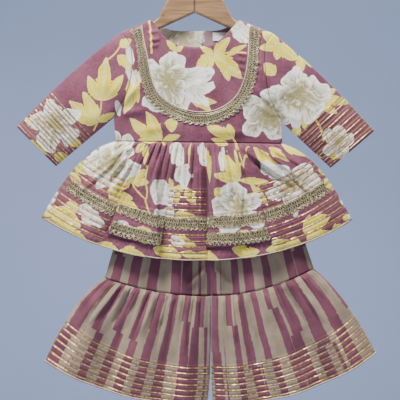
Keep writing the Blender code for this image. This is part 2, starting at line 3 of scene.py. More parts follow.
import bmesh
import bpy
import numpy as np
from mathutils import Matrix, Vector


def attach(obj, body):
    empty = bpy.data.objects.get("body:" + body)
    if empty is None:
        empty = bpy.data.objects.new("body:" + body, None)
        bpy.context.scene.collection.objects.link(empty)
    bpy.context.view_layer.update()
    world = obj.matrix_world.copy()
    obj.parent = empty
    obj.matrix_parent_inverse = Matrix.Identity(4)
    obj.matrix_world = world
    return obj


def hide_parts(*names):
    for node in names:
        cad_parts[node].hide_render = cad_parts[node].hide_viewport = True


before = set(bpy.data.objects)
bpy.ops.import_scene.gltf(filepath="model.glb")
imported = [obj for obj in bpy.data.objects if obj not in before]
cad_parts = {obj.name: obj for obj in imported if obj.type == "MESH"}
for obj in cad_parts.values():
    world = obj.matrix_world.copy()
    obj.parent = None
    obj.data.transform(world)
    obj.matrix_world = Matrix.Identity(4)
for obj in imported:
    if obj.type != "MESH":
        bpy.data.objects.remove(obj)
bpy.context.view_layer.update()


# Kurti bodice
# Front and back are cut from printed cotton cambric and joined by shoulder and side seams that are
# turned inside. The back is slit at the neck. Soft creases run from the shoulders and the lace.

# Millimetres, in the same places as in the part's source: x, z of the neckline, of the lace's inner
# edge and of the outer edge, then the edge's half depth, from the left shoulder round to the right.
FRONT_STATIONS = np.array([
    (-70, -105.6, -86, -112.2, -116.8, -124.8, 6.3),
    (-63, -114, -82, -138, -102.5, -147, 9),
    (-54, -127, -76, -166, -99.5, -184, 11),
    (-43, -138, -70.5, -194, -109, -226, 9),
    (-33, -145, -62, -219, -129.6, -262.4, 0),
    (-24, -147.6, -47, -236, -127, -300, 0),
    (-12, -149, -24, -248.8, -66, -300.6, 8),
    (2, -150, 6, -255.2, 5, -301.2, 9),
    (16, -149, 34, -251.6, 74, -302.6, 8),
    (29, -146, 57, -238.5, 139.5, -304, 0),
    (37, -141, 71, -222, 139.2, -270, 0),
    (46, -133.5, 80, -198, 119, -230, 9),
    (55, -124, 84.5, -170, 111.5, -187, 11),
    (64, -114, 86, -141, 112, -148.5, 9),
    (72, -105.8, 87, -112, 124, -127.2, 6.3),
])
BACK_NECK = np.array([
    (-70, -105.6), (-62, -111), (-51, -116), (-41, -119.4), (-32, -121.2),
    (-20, -121.8), (-4, -121.8), (14, -121.8), (22, -121.8), (31, -121.4),
    (39, -120), (47, -117.6), (55, -114.2), (64, -110), (72, -105.8),
])
WAIST_CORNERS = (4, 5, 9, 10)
CLOTH_THICK = 0.7
# Half the gap between a front wall and the back wall that it lies on, at the seams.
LAID = 0.75
SHOULDER_DEPTH = 6.3
NECK_DEPTH = 10.0
LACE_WIDTH = 19.0
SLIT_HALF_GAP = 1.2
# How far to the side the back's share of the print lies on the roll.
BACK_PRINT = 1000

# Creases seen on the front: from x, z to x, z, height out, half width on the left and on the right.
BODICE_CREASES = [
    (-78, -128, -58, -124, 0.9, 3, 2), (-76, -140, -54, -137, 1.1, 3, 2), (-74, -151, -56, -146, 0.8, 3, 2),
    (86, -164, 66, -160, 1.0, 3, 2), (84, -174, 62, -171, 1.1, 3, 2), (82, -186, 64, -182, 0.9, 3, 2),
    (80, -197, 66, -192, 0.8, 3, 2), (108, -178, 90, -174, 1.0, 3, 2), (108, -190, 92, -185, 1.0, 3, 2),
    (-118, -240, -84, -206, 1.5, 7, 4), (-122, -256, -76, -250, 1.2, 7, 5),
    (126, -246, 92, -214, 1.6, 7, 4), (130, -262, 96, -240, 1.1, 6, 5), (-40, -170, -20, -230, 0.9, 12, 9),
    (40, -160, 34, -226, 0.8, 12, 9), (-98, -284, -40, -276, 0.8, 6, 6), (20, -282, 96, -288, 0.9, 6, 6),
    (-20, -262, -26, -298, 0.9, 6, 5), (70, -262, 66, -300, 0.8, 5, 6), (-72, -262, -76, -298, 0.7, 5, 5),
    (0, -155, 4, -205, -0.8, 10, 10),
]
BACK_CREASES = [
    (-112, -240, -70, -196, 1.4, 7, 4), (122, -244, 78, -200, 1.4, 7, 4), (-92, -132, -58, -150, 0.9, 5, 4),
    (94, -132, 60, -152, 0.9, 5, 4), (-50, -190, -36, -286, 1.0, 12, 9), (46, -180, 54, -284, 1.0, 9, 12),
    (4, -210, 2, -292, -0.9, 9, 9), (-100, -286, -30, -280, 0.7, 6, 6), (30, -284, 100, -288, 0.7, 6, 6),
]


def smooth(value, first, last):
    """Smooth step: with t = (value - first) / (last - first), kept from 0 to 1, it is t * t * (3 - 2 * t)."""
    t = np.clip((value - first) / (last - first), 0, 1)
    return t * t * (3 - 2 * t)


def along(values, position):
    """Catmull-Rom curve through values at 0, 1, 2 and so on, with its end slopes carried straight on."""
    v = np.concatenate([2 * values[:1] - values[1:2], values, 2 * values[-1:] - values[-2:-1]])
    i = np.clip(position.astype(int), 0, len(values) - 2)
    t = (position - i).reshape(-1, *[1] * (values.ndim - 1))
    p0, p1, p2, p3 = v[i], v[i + 1], v[i + 2], v[i + 3]
    return 0.5 * (
        2 * p1 + (p2 - p0) * t + (2 * p0 - 5 * p1 + 4 * p2 - p3) * t**2 + (3 * p1 - p0 - 3 * p2 + p3) * t**3
    )


def cornered(values, position):
    """The same curve, broken at the corners of the waist and underarm, where each part ends by itself."""
    found = np.zeros((len(position), values.shape[1]))
    ends = [0, *WAIST_CORNERS, len(values) - 1]
    for first, last in zip(ends, ends[1:]):
        here = (position >= first) & (position <= last)
        found[here] = along(values[first : last + 1], position[here] - first)
    return found


def edge_of_bodice(place):
    """The outer edge: its x and z, and its depth, which falls to nothing over half a station at a shoulder
    seam as a quarter round, sqrt(1 - (1 - t)^2)."""
    near = np.minimum(np.minimum(place, 14 - place) / 0.5, 1)
    depth = np.maximum(cornered(FRONT_STATIONS[:, 6:7], place)[:, 0], 0) * np.sqrt(1 - (1 - near) ** 2)
    return cornered(FRONT_STATIONS[:, 4:6], place), depth


def pleats(turn):
    """Round crests with narrow valleys between them, as gathers have: |sin(turn / 2)|^0.7, from 0 to 1."""
    return np.abs(np.sin(turn / 2)) ** 0.7


def creases(x, z, table):
    """Sum of soft creases. Each is a bell across its line, exp(-(d / half)^2), times sin(pi * t)^0.7 along
    it, with one half width on its left and one on its right when it is drawn downwards."""
    total = np.zeros_like(x)
    for x0, z0, x1, z1, height, left, right in table:
        run = np.hypot(x1 - x0, z1 - z0)
        t = ((x - x0) * (x1 - x0) + (z - z0) * (z1 - z0)) / run**2
        d = ((z - z0) * (x1 - x0) - (x - x0) * (z1 - z0)) / run
        bell = np.exp(-((d / np.where(d < 0, left, right)) ** 2))
        total += height * bell * np.sin(np.pi * np.clip(t, 0, 1)) ** 0.7
    return total


def bodice_points(side, place, ring):
    """Six rings run from the neckline to the outer edge, each a curve through its stations; a point lies on
    the curve through the six at the given ring. The depth grows from SHOULDER_DEPTH to NECK_DEPTH within two
    stations of a shoulder seam, and falls to the edge's own depth at the last ring."""
    near = np.minimum(place, 14 - place)
    rise = np.sqrt(1 - (1 - np.minimum(near / 0.5, 1)) ** 2)
    inner = (SHOULDER_DEPTH + (NECK_DEPTH - SHOULDER_DEPTH) * smooth(near, 0.7, 2.0)) * rise
    neck = along(FRONT_STATIONS[:, 0:2] if side < 0 else BACK_NECK, place)
    lace = along(FRONT_STATIONS[:, 2:4], place)
    edge, edge_depth = edge_of_bodice(place)
    length = np.linalg.norm(edge - lace, axis=1)
    outer = lace + (edge - lace) * (np.minimum(LACE_WIDTH, 0.62 * length) / length)[:, None]
    flat = np.stack([neck, (neck + lace) / 2, lace, outer, (outer + edge) / 2, edge])
    middle = (inner + edge_depth) / 2 + 1.2 * rise
    depth = np.stack([inner, inner, inner * 1.05, inner * 1.05, middle, edge_depth])
    points = np.dstack([flat[..., 0], side * (LAID + depth), flat[..., 1]])
    return along(points, ring)


def normals(grid):
    """Unit normals of a grid of points, from the cross product of its differences across and down it,
    turned as a whole to the side of y that the grid is on."""
    across = np.gradient(grid, axis=1)
    down = np.gradient(grid, axis=0)
    normal = np.cross(across, down)
    normal /= np.maximum(np.linalg.norm(normal, axis=2, keepdims=True), 1e-9)
    outward = np.sign((normal[..., 1] * np.sign(grid[..., 1])).sum())
    return normal * (outward or 1)


# The print is laid over the plane of the front, and beside it over the plane of the back. A row is where
# a motif starts, x and z, where it ends, half its width, and how far it bows, in half widths.
FLOWERS = [
    # centre x, z, radius, turn in degrees
    (-39, -208, 50, 20), (117, -259, 43, 200), (165, -232, 47, 40), (-221, -272, 41, 150),
    (-129, -330, 47, 200), (72, -406, 40, 90), (155, -371, 41, 10), (227, -299, 25, 0), (976, -236, 48, 30),
    (1060, -170, 40, 80), (905, -160, 36, 10), (890, -300, 34, 70), (1118, -262, 42, 150),
    (1182, -220, 34, 30), (1216, -318, 30, 60), (790, -250, 38, 100), (1010, -360, 44, 15),
    (884, -396, 46, 45), (1120, -404, 42, 95), (955, -462, 30, 20), (1016, -134, 36, 10),
]
PETALS = [
    (-30, -304, -19, -342, 11, 0), (-16, -336, -17, -376, 14, 0), (-52, -364, -42, -404, 13, 0),
    (-46, -402, -40, -426, 10, 0), (12, -303, 14, -338, 6, 0), (45, -304, 46, -346, 6, 0),
    (-182, -406, -148, -438, 13, 0), (-130, -428, -100, -448, 10, 0), (-222, -374, -240, -414, 10, 0),
    (236, -368, 254, -410, 13, 0), (262, -408, 248, -432, 9, 0), (176, -350, 208, -374, 10, 0),
    (54, -410, 94, -424, 9, 0), (-8, -204, 32, -193, 15, 0), (-8, -210, 34, -222, 15, 0),
    (-10, -214, 16, -244, 14, 0), (-108, -148, -99, -178, 6, 0.2), (-108, -180, -97, -212, 6, 0.3),
    (60, -110, 84, -146, 13, 0), (84, -112, 88, -142, 9, 0), (102, -336, 142, -356, 13, 0),
    (-44, -452, -14, -462, 8, 0), (-125, -236, -121, -258, 5, 0), (1180, -428, 1206, -450, 12, 0),
    (786, -428, 812, -452, 12, 0), (1048, -448, 1076, -472, 11, 0), (850, -224, 872, -252, 12, 0),
    (1016, -196, 1036, -204, 8, 0), (1082, -322, 1104, -346, 12, 0), (936, -332, 960, -352, 12, 0),
]
LEAVES = [
    (-232, -410, -178, -436, 18, 0), (-252, -426, -212, -442, 10, 0), (-198, -444, -166, -462, 10, 0),
    (-152, -462, -118, -480, 9, 0), (172, -442, 216, -418, 15, 0), (178, -466, 218, -442, 13, 0),
    (124, -460, 162, -476, 11, 0), (-62, -470, -18, -484, 11, 0), (0, -478, 42, -488, 8, 0),
    (230, -436, 244, -452, 7, 0), (60, -470, 100, -484, 10, 0), (-110, -468, -76, -486, 9, 0),
    (-149, -235, -141, -166, 13, 0), (-149, -235, -171, -195, 10, 0.2), (-149, -235, -114, -195, 10, -0.2),
    (-155, -269, -178, -221, 11, 0), (-155, -269, -200, -235, 11, 0.2), (-155, -269, -190, -264, 8, 0),
    (-155, -269, -128, -254, 6, 0), (-120, -150, -101, -138, 8, 0), (-123, -163, -102, -189, 10, 0.3),
    (-94, -186, -112, -258, 11, 0.3), (-94, -198, -91, -240, 6, 0), (-109, -173, -98, -211, 6, 0),
    (-54, -298, -104, -262, 11, 0.4), (-54, -298, -77, -253, 10, 0), (-56, -298, -91, -298, 6, 0),
    (-37, -262, -37, -286, 10, 0), (-51, -298, -22, -291, 6, 0), (30, -163, 56, -134, 8, 0),
    (30, -163, 8, -149, 6, 0), (30, -163, 0, -187, 10, -0.2), (30, -163, 22, -187, 6, 0),
    (30, -163, 75, -200, 13, 0.2), (46, -173, 54, -205, 8, 0), (50, -165, 83, -147, 5, 0.3),
    (-30, -157, -45, -139, 5, 0), (-30, -157, -19, -149, 5, 0), (-10, -229, 35, -238, 8, -0.3),
    (-8, -230, 26, -253, 8, 0.2), (61, -296, 18, -275, 10, 0), (61, -296, 53, -272, 8, 0),
    (53, -306, 26, -296, 6, 0), (134, -147, 107, -125, 10, 0), (134, -147, 102, -152, 8, 0),
    (134, -147, 130, -171, 8, 0), (133, -144, 166, -170, 11, -0.3), (171, -157, 166, -197, 8, 0),
    (171, -157, 186, -182, 6, 0), (128, -195, 109, -176, 10, 0), (190, -235, 226, -216, 8, 0),
    (190, -235, 248, -238, 10, 0.2), (190, -235, 227, -256, 8, 0), (168, -254, 178, -283, 6, 0),
    (168, -278, 152, -296, 8, 0), (205, -314, 248, -325, 10, 0), (168, -317, 203, -326, 6, 0),
    (-206, -296, -181, -307, 8, 0), (-226, -322, -197, -330, 8, 0), (-272, -262, -248, -282, 6, 0),
    (-264, -298, -235, -322, 6, 0), (-101, -362, -72, -346, 8, 0), (-101, -362, -70, -366, 8, 0),
    (-101, -362, -126, -354, 6, 0), (-104, -363, -139, -382, 8, 0.2), (-102, -363, -117, -378, 6, 0),
    (-134, -386, -83, -416, 14, -0.2), (-134, -386, -98, -392, 10, 0), (-133, -384, -107, -414, 8, 0),
    (-78, -304, -90, -318, 6, 0), (-72, -307, -77, -339, 6, 0), (-30, -302, -24, -336, 8, 0),
    (-5, -302, -5, -342, 3, 0), (21, -310, 22, -368, 6, 0), (-194, -333, -165, -352, 10, 0),
    (-200, -349, -181, -368, 6, 0), (75, -362, 43, -318, 11, 0), (77, -358, 69, -314, 6, 0),
    (75, -362, 38, -352, 10, 0.2), (77, -362, 117, -366, 6, 0), (91, -368, 115, -403, 5, 0.2),
    (85, -395, 96, -382, 6, 0), (96, -309, 144, -346, 8, -0.3), (120, -309, 152, -333, 6, 0),
    (138, -302, 186, -323, 8, -0.3), (35, -378, 58, -387, 8, 0), (43, -390, 35, -403, 6, 0),
    (-37, -376, -40, -358, 5, 0), (-14, -374, -40, -378, 6, 0), (-11, -374, 2, -402, 8, 0),
    (-24, -378, -30, -403, 6, 0), (-32, -416, 3, -419, 6, 0), (-219, -406, -242, -419, 8, 0),
    (-205, -398, -184, -413, 10, 0), (-192, -445, -165, -467, 10, 0), (-160, -464, -133, -477, 8, 0),
    (-213, -429, -187, -445, 8, 0), (-120, -474, -91, -483, 8, 0), (-88, -451, -59, -458, 8, 0),
    (-136, -438, -104, -445, 8, 0), (-96, -440, -59, -446, 8, 0), (-30, -451, 2, -467, 8, 0),
    (-21, -477, 16, -483, 6, 0), (-48, -469, -30, -475, 6, 0), (43, -437, 66, -451, 8, 0),
    (66, -451, 88, -442, 6, 0), (78, -477, 107, -474, 8, 0), (144, -458, 168, -467, 10, 0),
    (173, -435, 218, -462, 14, 0), (178, -458, 203, -445, 10, 0), (219, -445, 240, -435, 10, 0),
    (133, -410, 152, -403, 6, 0), (208, -358, 221, -378, 8, 0), (197, -342, 216, -355, 6, 0),
    (237, -416, 248, -429, 6, 0), (117, -474, 142, -462, 6, 0), (1020, -216, 1052, -238, 11, 0.3),
    (1020, -216, 1060, -208, 9, 0), (930, -196, 900, -214, 11, 0.2), (930, -196, 936, -160, 8, 0),
    (930, -196, 950, -170, 7, 0), (1030, -290, 1066, -300, 10, 0.2), (1030, -290, 1058, -270, 8, 0),
    (938, -292, 922, -262, 9, 0), (938, -292, 908, -276, 8, 0.2), (850, -206, 828, -176, 9, 0),
    (850, -206, 870, -178, 9, 0), (1150, -180, 1176, -164, 9, 0), (1150, -180, 1130, -160, 8, 0),
    (1234, -262, 1262, -282, 10, 0), (1234, -262, 1256, -246, 8, 0), (760, -300, 734, -322, 10, 0),
    (760, -300, 786, -318, 8, 0), (830, -340, 800, -366, 11, 0.3), (830, -340, 856, -360, 8, 0),
    (952, -396, 936, -362, 9, 0), (952, -396, 978, -416, 9, 0.2), (1070, -352, 1100, -340, 9, 0),
    (1070, -352, 1082, -384, 9, 0), (1172, -372, 1204, -362, 10, 0.2), (1172, -372, 1206, -388, 8, 0),
    (1016, -424, 1040, -412, 8, 0), (1016, -424, 1006, -446, 7, 0), (1092, -446, 1120, -462, 10, 0),
    (1150, -470, 1180, -476, 9, 0), (900, -456, 870, -470, 10, 0), (980, -478, 1010, -484, 8, 0),
    (850, -446, 836, -474, 8, 0), (770, -412, 750, -430, 8, 0), (1226, -408, 1246, -424, 8, 0),
    (1000, -318, 1018, -306, 7, 0), (870, -330, 846, -322, 8, 0),
]
STEMS = [
    (-75, -101, -69, -160, 1.6, 1.4), (-149, -235, -155, -269, 1.2, 1), (-155, -269, -162, -283, 1.2, 0),
    (-30, -157, -29, -170, 1.4, 0), (30, -163, 82, -160, 1.2, 2), (61, -296, 72, -314, 1.4, 0),
    (192, -266, 205, -299, 1.6, 1.5), (-101, -363, -77, -392, 1.4, -2), (-77, -366, -75, -392, 1.4, 1.5),
    (-77, -392, -62, -419, 1.6, -1.5), (77, -355, 88, -309, 1.2, 1.5), (75, -362, 91, -368, 1.4, 0),
    (-54, -298, -46, -307, 1.4, 0), (-120, -150, -139, -170, 1.2, 1.5), (138, -146, 155, -131, 1.4, 0),
    (171, -157, 152, -150, 1.2, 0), (18, -138, 27, -125, 1.4, 1.5), (-72, -339, -77, -366, 1.2, 0),
    (1020, -216, 1000, -206, 1.4, 1), (930, -196, 962, -200, 1.4, 2), (1030, -290, 1000, -262, 1.4, 2),
    (1150, -180, 1172, -200, 1.4, 1), (850, -206, 812, -228, 1.4, 2), (1070, -352, 1048, -352, 1.4, 1),
    (952, -396, 920, -398, 1.4, 1), (1172, -372, 1146, -390, 1.4, 1), (830, -340, 862, -372, 1.4, 2),
]


def motif_places(cloth, faces, motifs, middle, slim):
    """For each face, finds the motif that it lies nearest to, and returns its corners' places in that motif:
    along it, 0 at its start and 1 at its end, across it, 1 at half its width, and a number of its own."""
    table = np.array(motifs, float)
    start = table[:, 0:2]
    axis = table[:, 2:4] - start
    run = np.hypot(axis[:, 0], axis[:, 1])

    def within(points, pick):
        p = points - start[pick]
        t = (p * axis[pick]).sum(-1) / run[pick] ** 2
        s = (p[..., 1] * axis[pick][..., 0] - p[..., 0] * axis[pick][..., 1]) / (run[pick] * table[pick, 4])
        return t, s - table[pick, 5] * 4 * t * (1 - t) * (np.abs(t - 0.5) < 0.7)

    corners = cloth[faces]
    centres = corners.mean(1)
    t, s = within(centres[:, None, :], np.arange(len(table))[None, :])
    if slim:
        far = np.hypot(np.maximum(np.abs(t - 0.5) - 0.5, 0) * run, s * table[:, 4])
    else:
        far = ((t - middle) / (1 - middle)) ** 2 + s**2
    pick = far.argmin(1)[:, None]
    t, s = within(corners, np.repeat(pick, 4, axis=1))
    return np.dstack([t, s, np.repeat(pick, 4, axis=1) + 0.0])


def add_skin(name, grid, cloth, finishes, thick=CLOTH_THICK, motifs=True, skip=(), tucks=None):
    """Joins a grid of points in millimetres into quads that face outwards, welds the edges that meet, lays
    the cloth's own plane on it as a UV map in metres, and gives it a wall. skip names strips left open.
    tucks holds, for each point, the number of the tuck line that it is at and how strong the tucks are."""
    rows, columns = grid.shape[:2]
    index = np.arange(rows * columns).reshape(rows, columns)
    faces = np.stack([index[:-1, :-1], index[:-1, 1:], index[1:, 1:], index[1:, :-1]], axis=-1)
    faces = np.delete(faces, list(skip), axis=1).reshape(-1, 4)
    points = grid.reshape(-1, 3)
    a, b, d = points[faces[:, 0]], points[faces[:, 1]], points[faces[:, 3]]
    if (np.cross(b - a, d - a)[:, 1] * np.sign(a[:, 1] + d[:, 1])).sum() < 0:
        faces = faces[:, ::-1]
    mesh = bpy.data.meshes.new(name)
    mesh.from_pydata((points / 1000).tolist(), [], faces.tolist())
    plane = cloth.reshape(-1, 2)
    layer = mesh.uv_layers.new(name="cloth")
    layer.data.foreach_set("uv", (plane[faces] / 1000).ravel())
    if motifs:
        rounds = [
            (x, z, x + r * math.cos(math.radians(a)), z + r * math.sin(math.radians(a)), r, 0)
            for x, z, r, a in FLOWERS
        ]
        for kind, table, middle in (
            ("flower", rounds, 0), ("petal", PETALS, 0.5), ("leaf", LEAVES, 0.5), ("stem", STEMS, 0.5),
        ):
            data = mesh.attributes.new(kind, "FLOAT_VECTOR", "CORNER").data
            data.foreach_set("vector", motif_places(plane, faces, table, middle, kind == "stem").ravel())
    if tucks is not None:
        data = mesh.attributes.new("tuck", "FLOAT_VECTOR", "CORNER").data
        data.foreach_set("vector", np.dstack([*tucks, 0 * tucks[0]]).reshape(-1, 3)[faces].ravel())
    welded = bmesh.new()
    welded.from_mesh(mesh)
    bmesh.ops.remove_doubles(welded, verts=welded.verts, dist=1e-6)
    welded.to_mesh(mesh)
    welded.free()
    mesh.shade_smooth()
    for finish in finishes:
        mesh.materials.append(finish)
    obj = bpy.data.objects.new(name, mesh)
    bpy.context.scene.collection.objects.link(obj)
    wall = obj.modifiers.new("Wall", "SOLIDIFY")
    wall.thickness = thick / 1000
    wall.offset = 0
    wall.material_offset = len(finishes) - 1
    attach(obj, "root")
    return obj


def hex_colour(code):
    """The linear red, green and blue of an sRGB hex colour, with full alpha."""
    parts = [int(code[i : i + 2], 16) / 255 for i in (1, 3, 5)]
    return (*[c / 12.92 if c <= 0.04045 else ((c + 0.055) / 1.055) ** 2.4 for c in parts], 1.0)


def put(tree, kind, *values, out=0, named=(), **settings):
    """Adds one node with its settings. Values and links go to its inputs in order, None leaves one alone,
    and named ones by their names. Returns one of its outputs."""
    made = tree.nodes.new("ShaderNode" + kind)
    for key, value in settings.items():
        setattr(made, key, value)
    for place, value in [*enumerate(values), *dict(named).items()]:
        if isinstance(value, bpy.types.NodeSocket):
            tree.links.new(value, made.inputs[place])
        elif value is not None:
            made.inputs[place].default_value = value
    return made.outputs[out]


def new_finish(name, roughness, metallic=0.0, **constants):
    """A material with its shader ready; constants are set on the shader's own sockets."""
    made = bpy.data.materials.new(name)
    made.use_nodes = True
    shader = made.node_tree.nodes["Principled BSDF"]
    shader.inputs["Roughness"].default_value = roughness
    shader.inputs["Metallic"].default_value = metallic
    for key, value in constants.items():
        shader.inputs[key.replace("_", " ")].default_value = value
    return made, made.node_tree, shader


def weave_bump(tree, place, thread, strength):
    """Height of a plain weave, sin(2 pi u / thread) * sin(2 pi v / thread), plus slubs, as a bump."""
    rate = 2 * math.pi * 1000 / thread
    u, v, _ = put(tree, "SeparateXYZ", place).node.outputs
    warp = put(tree, "Math", put(tree, "Math", u, rate, operation="MULTIPLY"), operation="SINE")
    weft = put(tree, "Math", put(tree, "Math", v, rate, operation="MULTIPLY"), operation="SINE")
    woven = put(tree, "Math", warp, weft, operation="MULTIPLY")
    slub = put(tree, "TexNoise", place, named={"Scale": 900.0, "Detail": 2.0})
    height = put(tree, "Math", woven, slub, operation="ADD")
    return put(tree, "Bump", named={"Strength": strength, "Distance": 0.0002, "Height": height})


def attribute(tree, name, shift=(0.0, 0.0, 0.0)):
    """The three parts of one of the mesh's own attributes, after a shift is added to it."""
    value = put(tree, "Attribute", attribute_name=name, out=1)
    return put(tree, "SeparateXYZ", put(tree, "VectorMath", value, shift, operation="ADD")).node.outputs


def tuck_shade_and_ridges(tree, colour, weave, fine, tone):
    """Paints a brown line of shade, the shadow that each stitched tuck throws, along every tuck, over a bit
    more than a third of the distance from tuck to tuck. Returns the colour, and the weave's bump with a ridge
    between each two lines."""
    number, strength, _ = attribute(tree, "tuck")
    off = put(tree, "Math", put(tree, "Math", number, operation="FRACT"), 0.5, operation="SUBTRACT")
    off = put(tree, "Math", off, operation="ABSOLUTE")
    # The painted shade of a tuck, darkest in the middle of its band.
    line = put(tree, "MapRange", off, 0.13, 0.24, 1.0, 0.0)
    line = put(tree, "Math", line, put(tree, "MapRange", fine, 0.35, 0.6, 0.45, 0.95), operation="MULTIPLY")
    line = put(tree, "Math", line, strength, operation="MULTIPLY")
    ridge = put(tree, "MapRange", off, 0.0, 0.5, 0.0, 1.0)
    ridge = put(tree, "Math", ridge, strength, operation="MULTIPLY")
    bump = {"Strength": 0.6, "Distance": 0.0012, "Height": ridge, "Normal": weave}
    return put(tree, "MixRGB", line, colour, hex_colour(tone)), put(tree, "Bump", named=bump)


def arched(tree, t, lean, flat):
    """Half width of a leaf or petal at t of its length: sin(pi * t^lean)^flat."""
    turn = put(tree, "Math", put(tree, "Math", t, lean, operation="POWER"), math.pi, operation="MULTIPLY")
    half = put(tree, "Math", put(tree, "Math", turn, operation="SINE"), 0.0, operation="MAXIMUM")
    return put(tree, "Math", half, flat, operation="POWER")


def stems_over(tree, colour):
    """Stems: slim gold-yellow lines with sharp ends."""
    length, across, _ = attribute(tree, "stem")
    off = put(tree, "Math", across, operation="ABSOLUTE")
    past = put(tree, "Math", put(tree, "Math", length, 0.5, operation="SUBTRACT"), operation="ABSOLUTE")
    inside = put(tree, "MapRange", past, 0.5, 0.52, 1.0, 0.0)
    inside = put(tree, "Math", inside, put(tree, "MapRange", off, 0.85, 1.15, 1.0, 0.0), operation="MULTIPLY")
    return put(tree, "MixRGB", inside, colour, hex_colour("#E6C850"))


def leaves_over(tree, colour, drift, cloud, fine):
    """Leaves: half width sin(pi * t^0.85)^0.8, notched once by a sawtooth, yellow with slanting veins, a wide
    pale middle and a pale rim."""
    wave = put(tree, "VectorMath", drift, (0.12, 0.5, 0.0), operation="MULTIPLY")
    length, across, _ = attribute(tree, "leaf", wave)
    t = put(tree, "Clamp", length)
    s = put(tree, "Math", across, operation="ABSOLUTE")
    lobe = put(tree, "Math", put(tree, "Math", t, 1.7, 0.2, operation="MULTIPLY_ADD"), operation="FRACT")
    lobe = put(tree, "Math", lobe, 0.24, 0.86, operation="MULTIPLY_ADD")
    half = put(tree, "Math", arched(tree, t, 0.85, 0.8), lobe, operation="MULTIPLY")
    depth = put(tree, "Math", half, s, operation="SUBTRACT")
    inside = put(tree, "MapRange", depth, 0.0, 0.05, 0.0, 1.0)
    tone = put(tree, "MapRange", cloud, 0.35, 0.65, 0.0, 1.0)
    body = put(tree, "MixRGB", tone, hex_colour("#DAC02A"), hex_colour("#F8E450"))
    slant = put(tree, "Math", s, -0.55, length, operation="MULTIPLY_ADD")
    vein = put(tree, "Math", put(tree, "Math", slant, 34.0, operation="MULTIPLY"), operation="SINE")
    vein = put(tree, "MapRange", vein, 0.2, 1.0, 0.0, 0.6)
    body = put(tree, "MixRGB", vein, body, hex_colour("#A89F38"))
    rib = put(tree, "MapRange", s, 0.04, 0.34, 0.9, 0.0)
    rib = put(tree, "Math", rib, put(tree, "MapRange", fine, 0.35, 0.65, 0.4, 1.0), operation="MULTIPLY")
    body = put(tree, "MixRGB", rib, body, hex_colour("#DAD296"))
    rim = put(tree, "MapRange", depth, 0.06, 0.16, 0.8, 0.0)
    body = put(tree, "MixRGB", rim, body, hex_colour("#F0D98A"))
    return put(tree, "MixRGB", inside, colour, body)


def petals_over(tree, colour, place, drift, slow, fine):
    """Loose petals: half width sin(pi * t^0.8)^0.55, white with grey-green strokes that fade away from the
    base."""
    ruffle = put(tree, "VectorMath", drift, (0.34, 0.9, 0.0), operation="MULTIPLY")
    bend = put(tree, "VectorMath", slow, (0.7, 1.5, 0.0), operation="MULTIPLY")
    length, across, _ = attribute(tree, "petal", put(tree, "VectorMath", ruffle, bend, operation="ADD"))
    t = put(tree, "Clamp", length)
    off = put(tree, "Math", across, operation="ABSOLUTE")
    depth = put(tree, "Math", arched(tree, t, 0.8, 0.55), off, operation="SUBTRACT")
    inside = put(tree, "MapRange", depth, 0.0, 0.06, 0.0, 1.0)
    stroke = put(tree, "Math", put(tree, "Math", across, 11.0, operation="MULTIPLY"), operation="SINE")
    stroke = put(tree, "MapRange", stroke, 0.1, 1.0, 0.0, 0.75)
    mottle = put(tree, "TexNoise", place, named={"Scale": 60.0, "Detail": 2.0})
    mottle = put(tree, "MapRange", mottle, 0.42, 0.62, 0.0, 1.0)
    stroke = put(tree, "Math", stroke, mottle, operation="MULTIPLY")
    base = put(tree, "MapRange", t, 0.05, 0.8, 0.9, 0.0)
    base = put(tree, "Math", base, put(tree, "MapRange", fine, 0.4, 0.62, 0.3, 1.0), operation="MULTIPLY")
    stroke = put(tree, "Math", stroke, base, operation="MAXIMUM")
    body = put(tree, "MixRGB", stroke, hex_colour("#F7F2E6"), hex_colour("#978E6A"))
    return put(tree, "MixRGB", inside, colour, body)


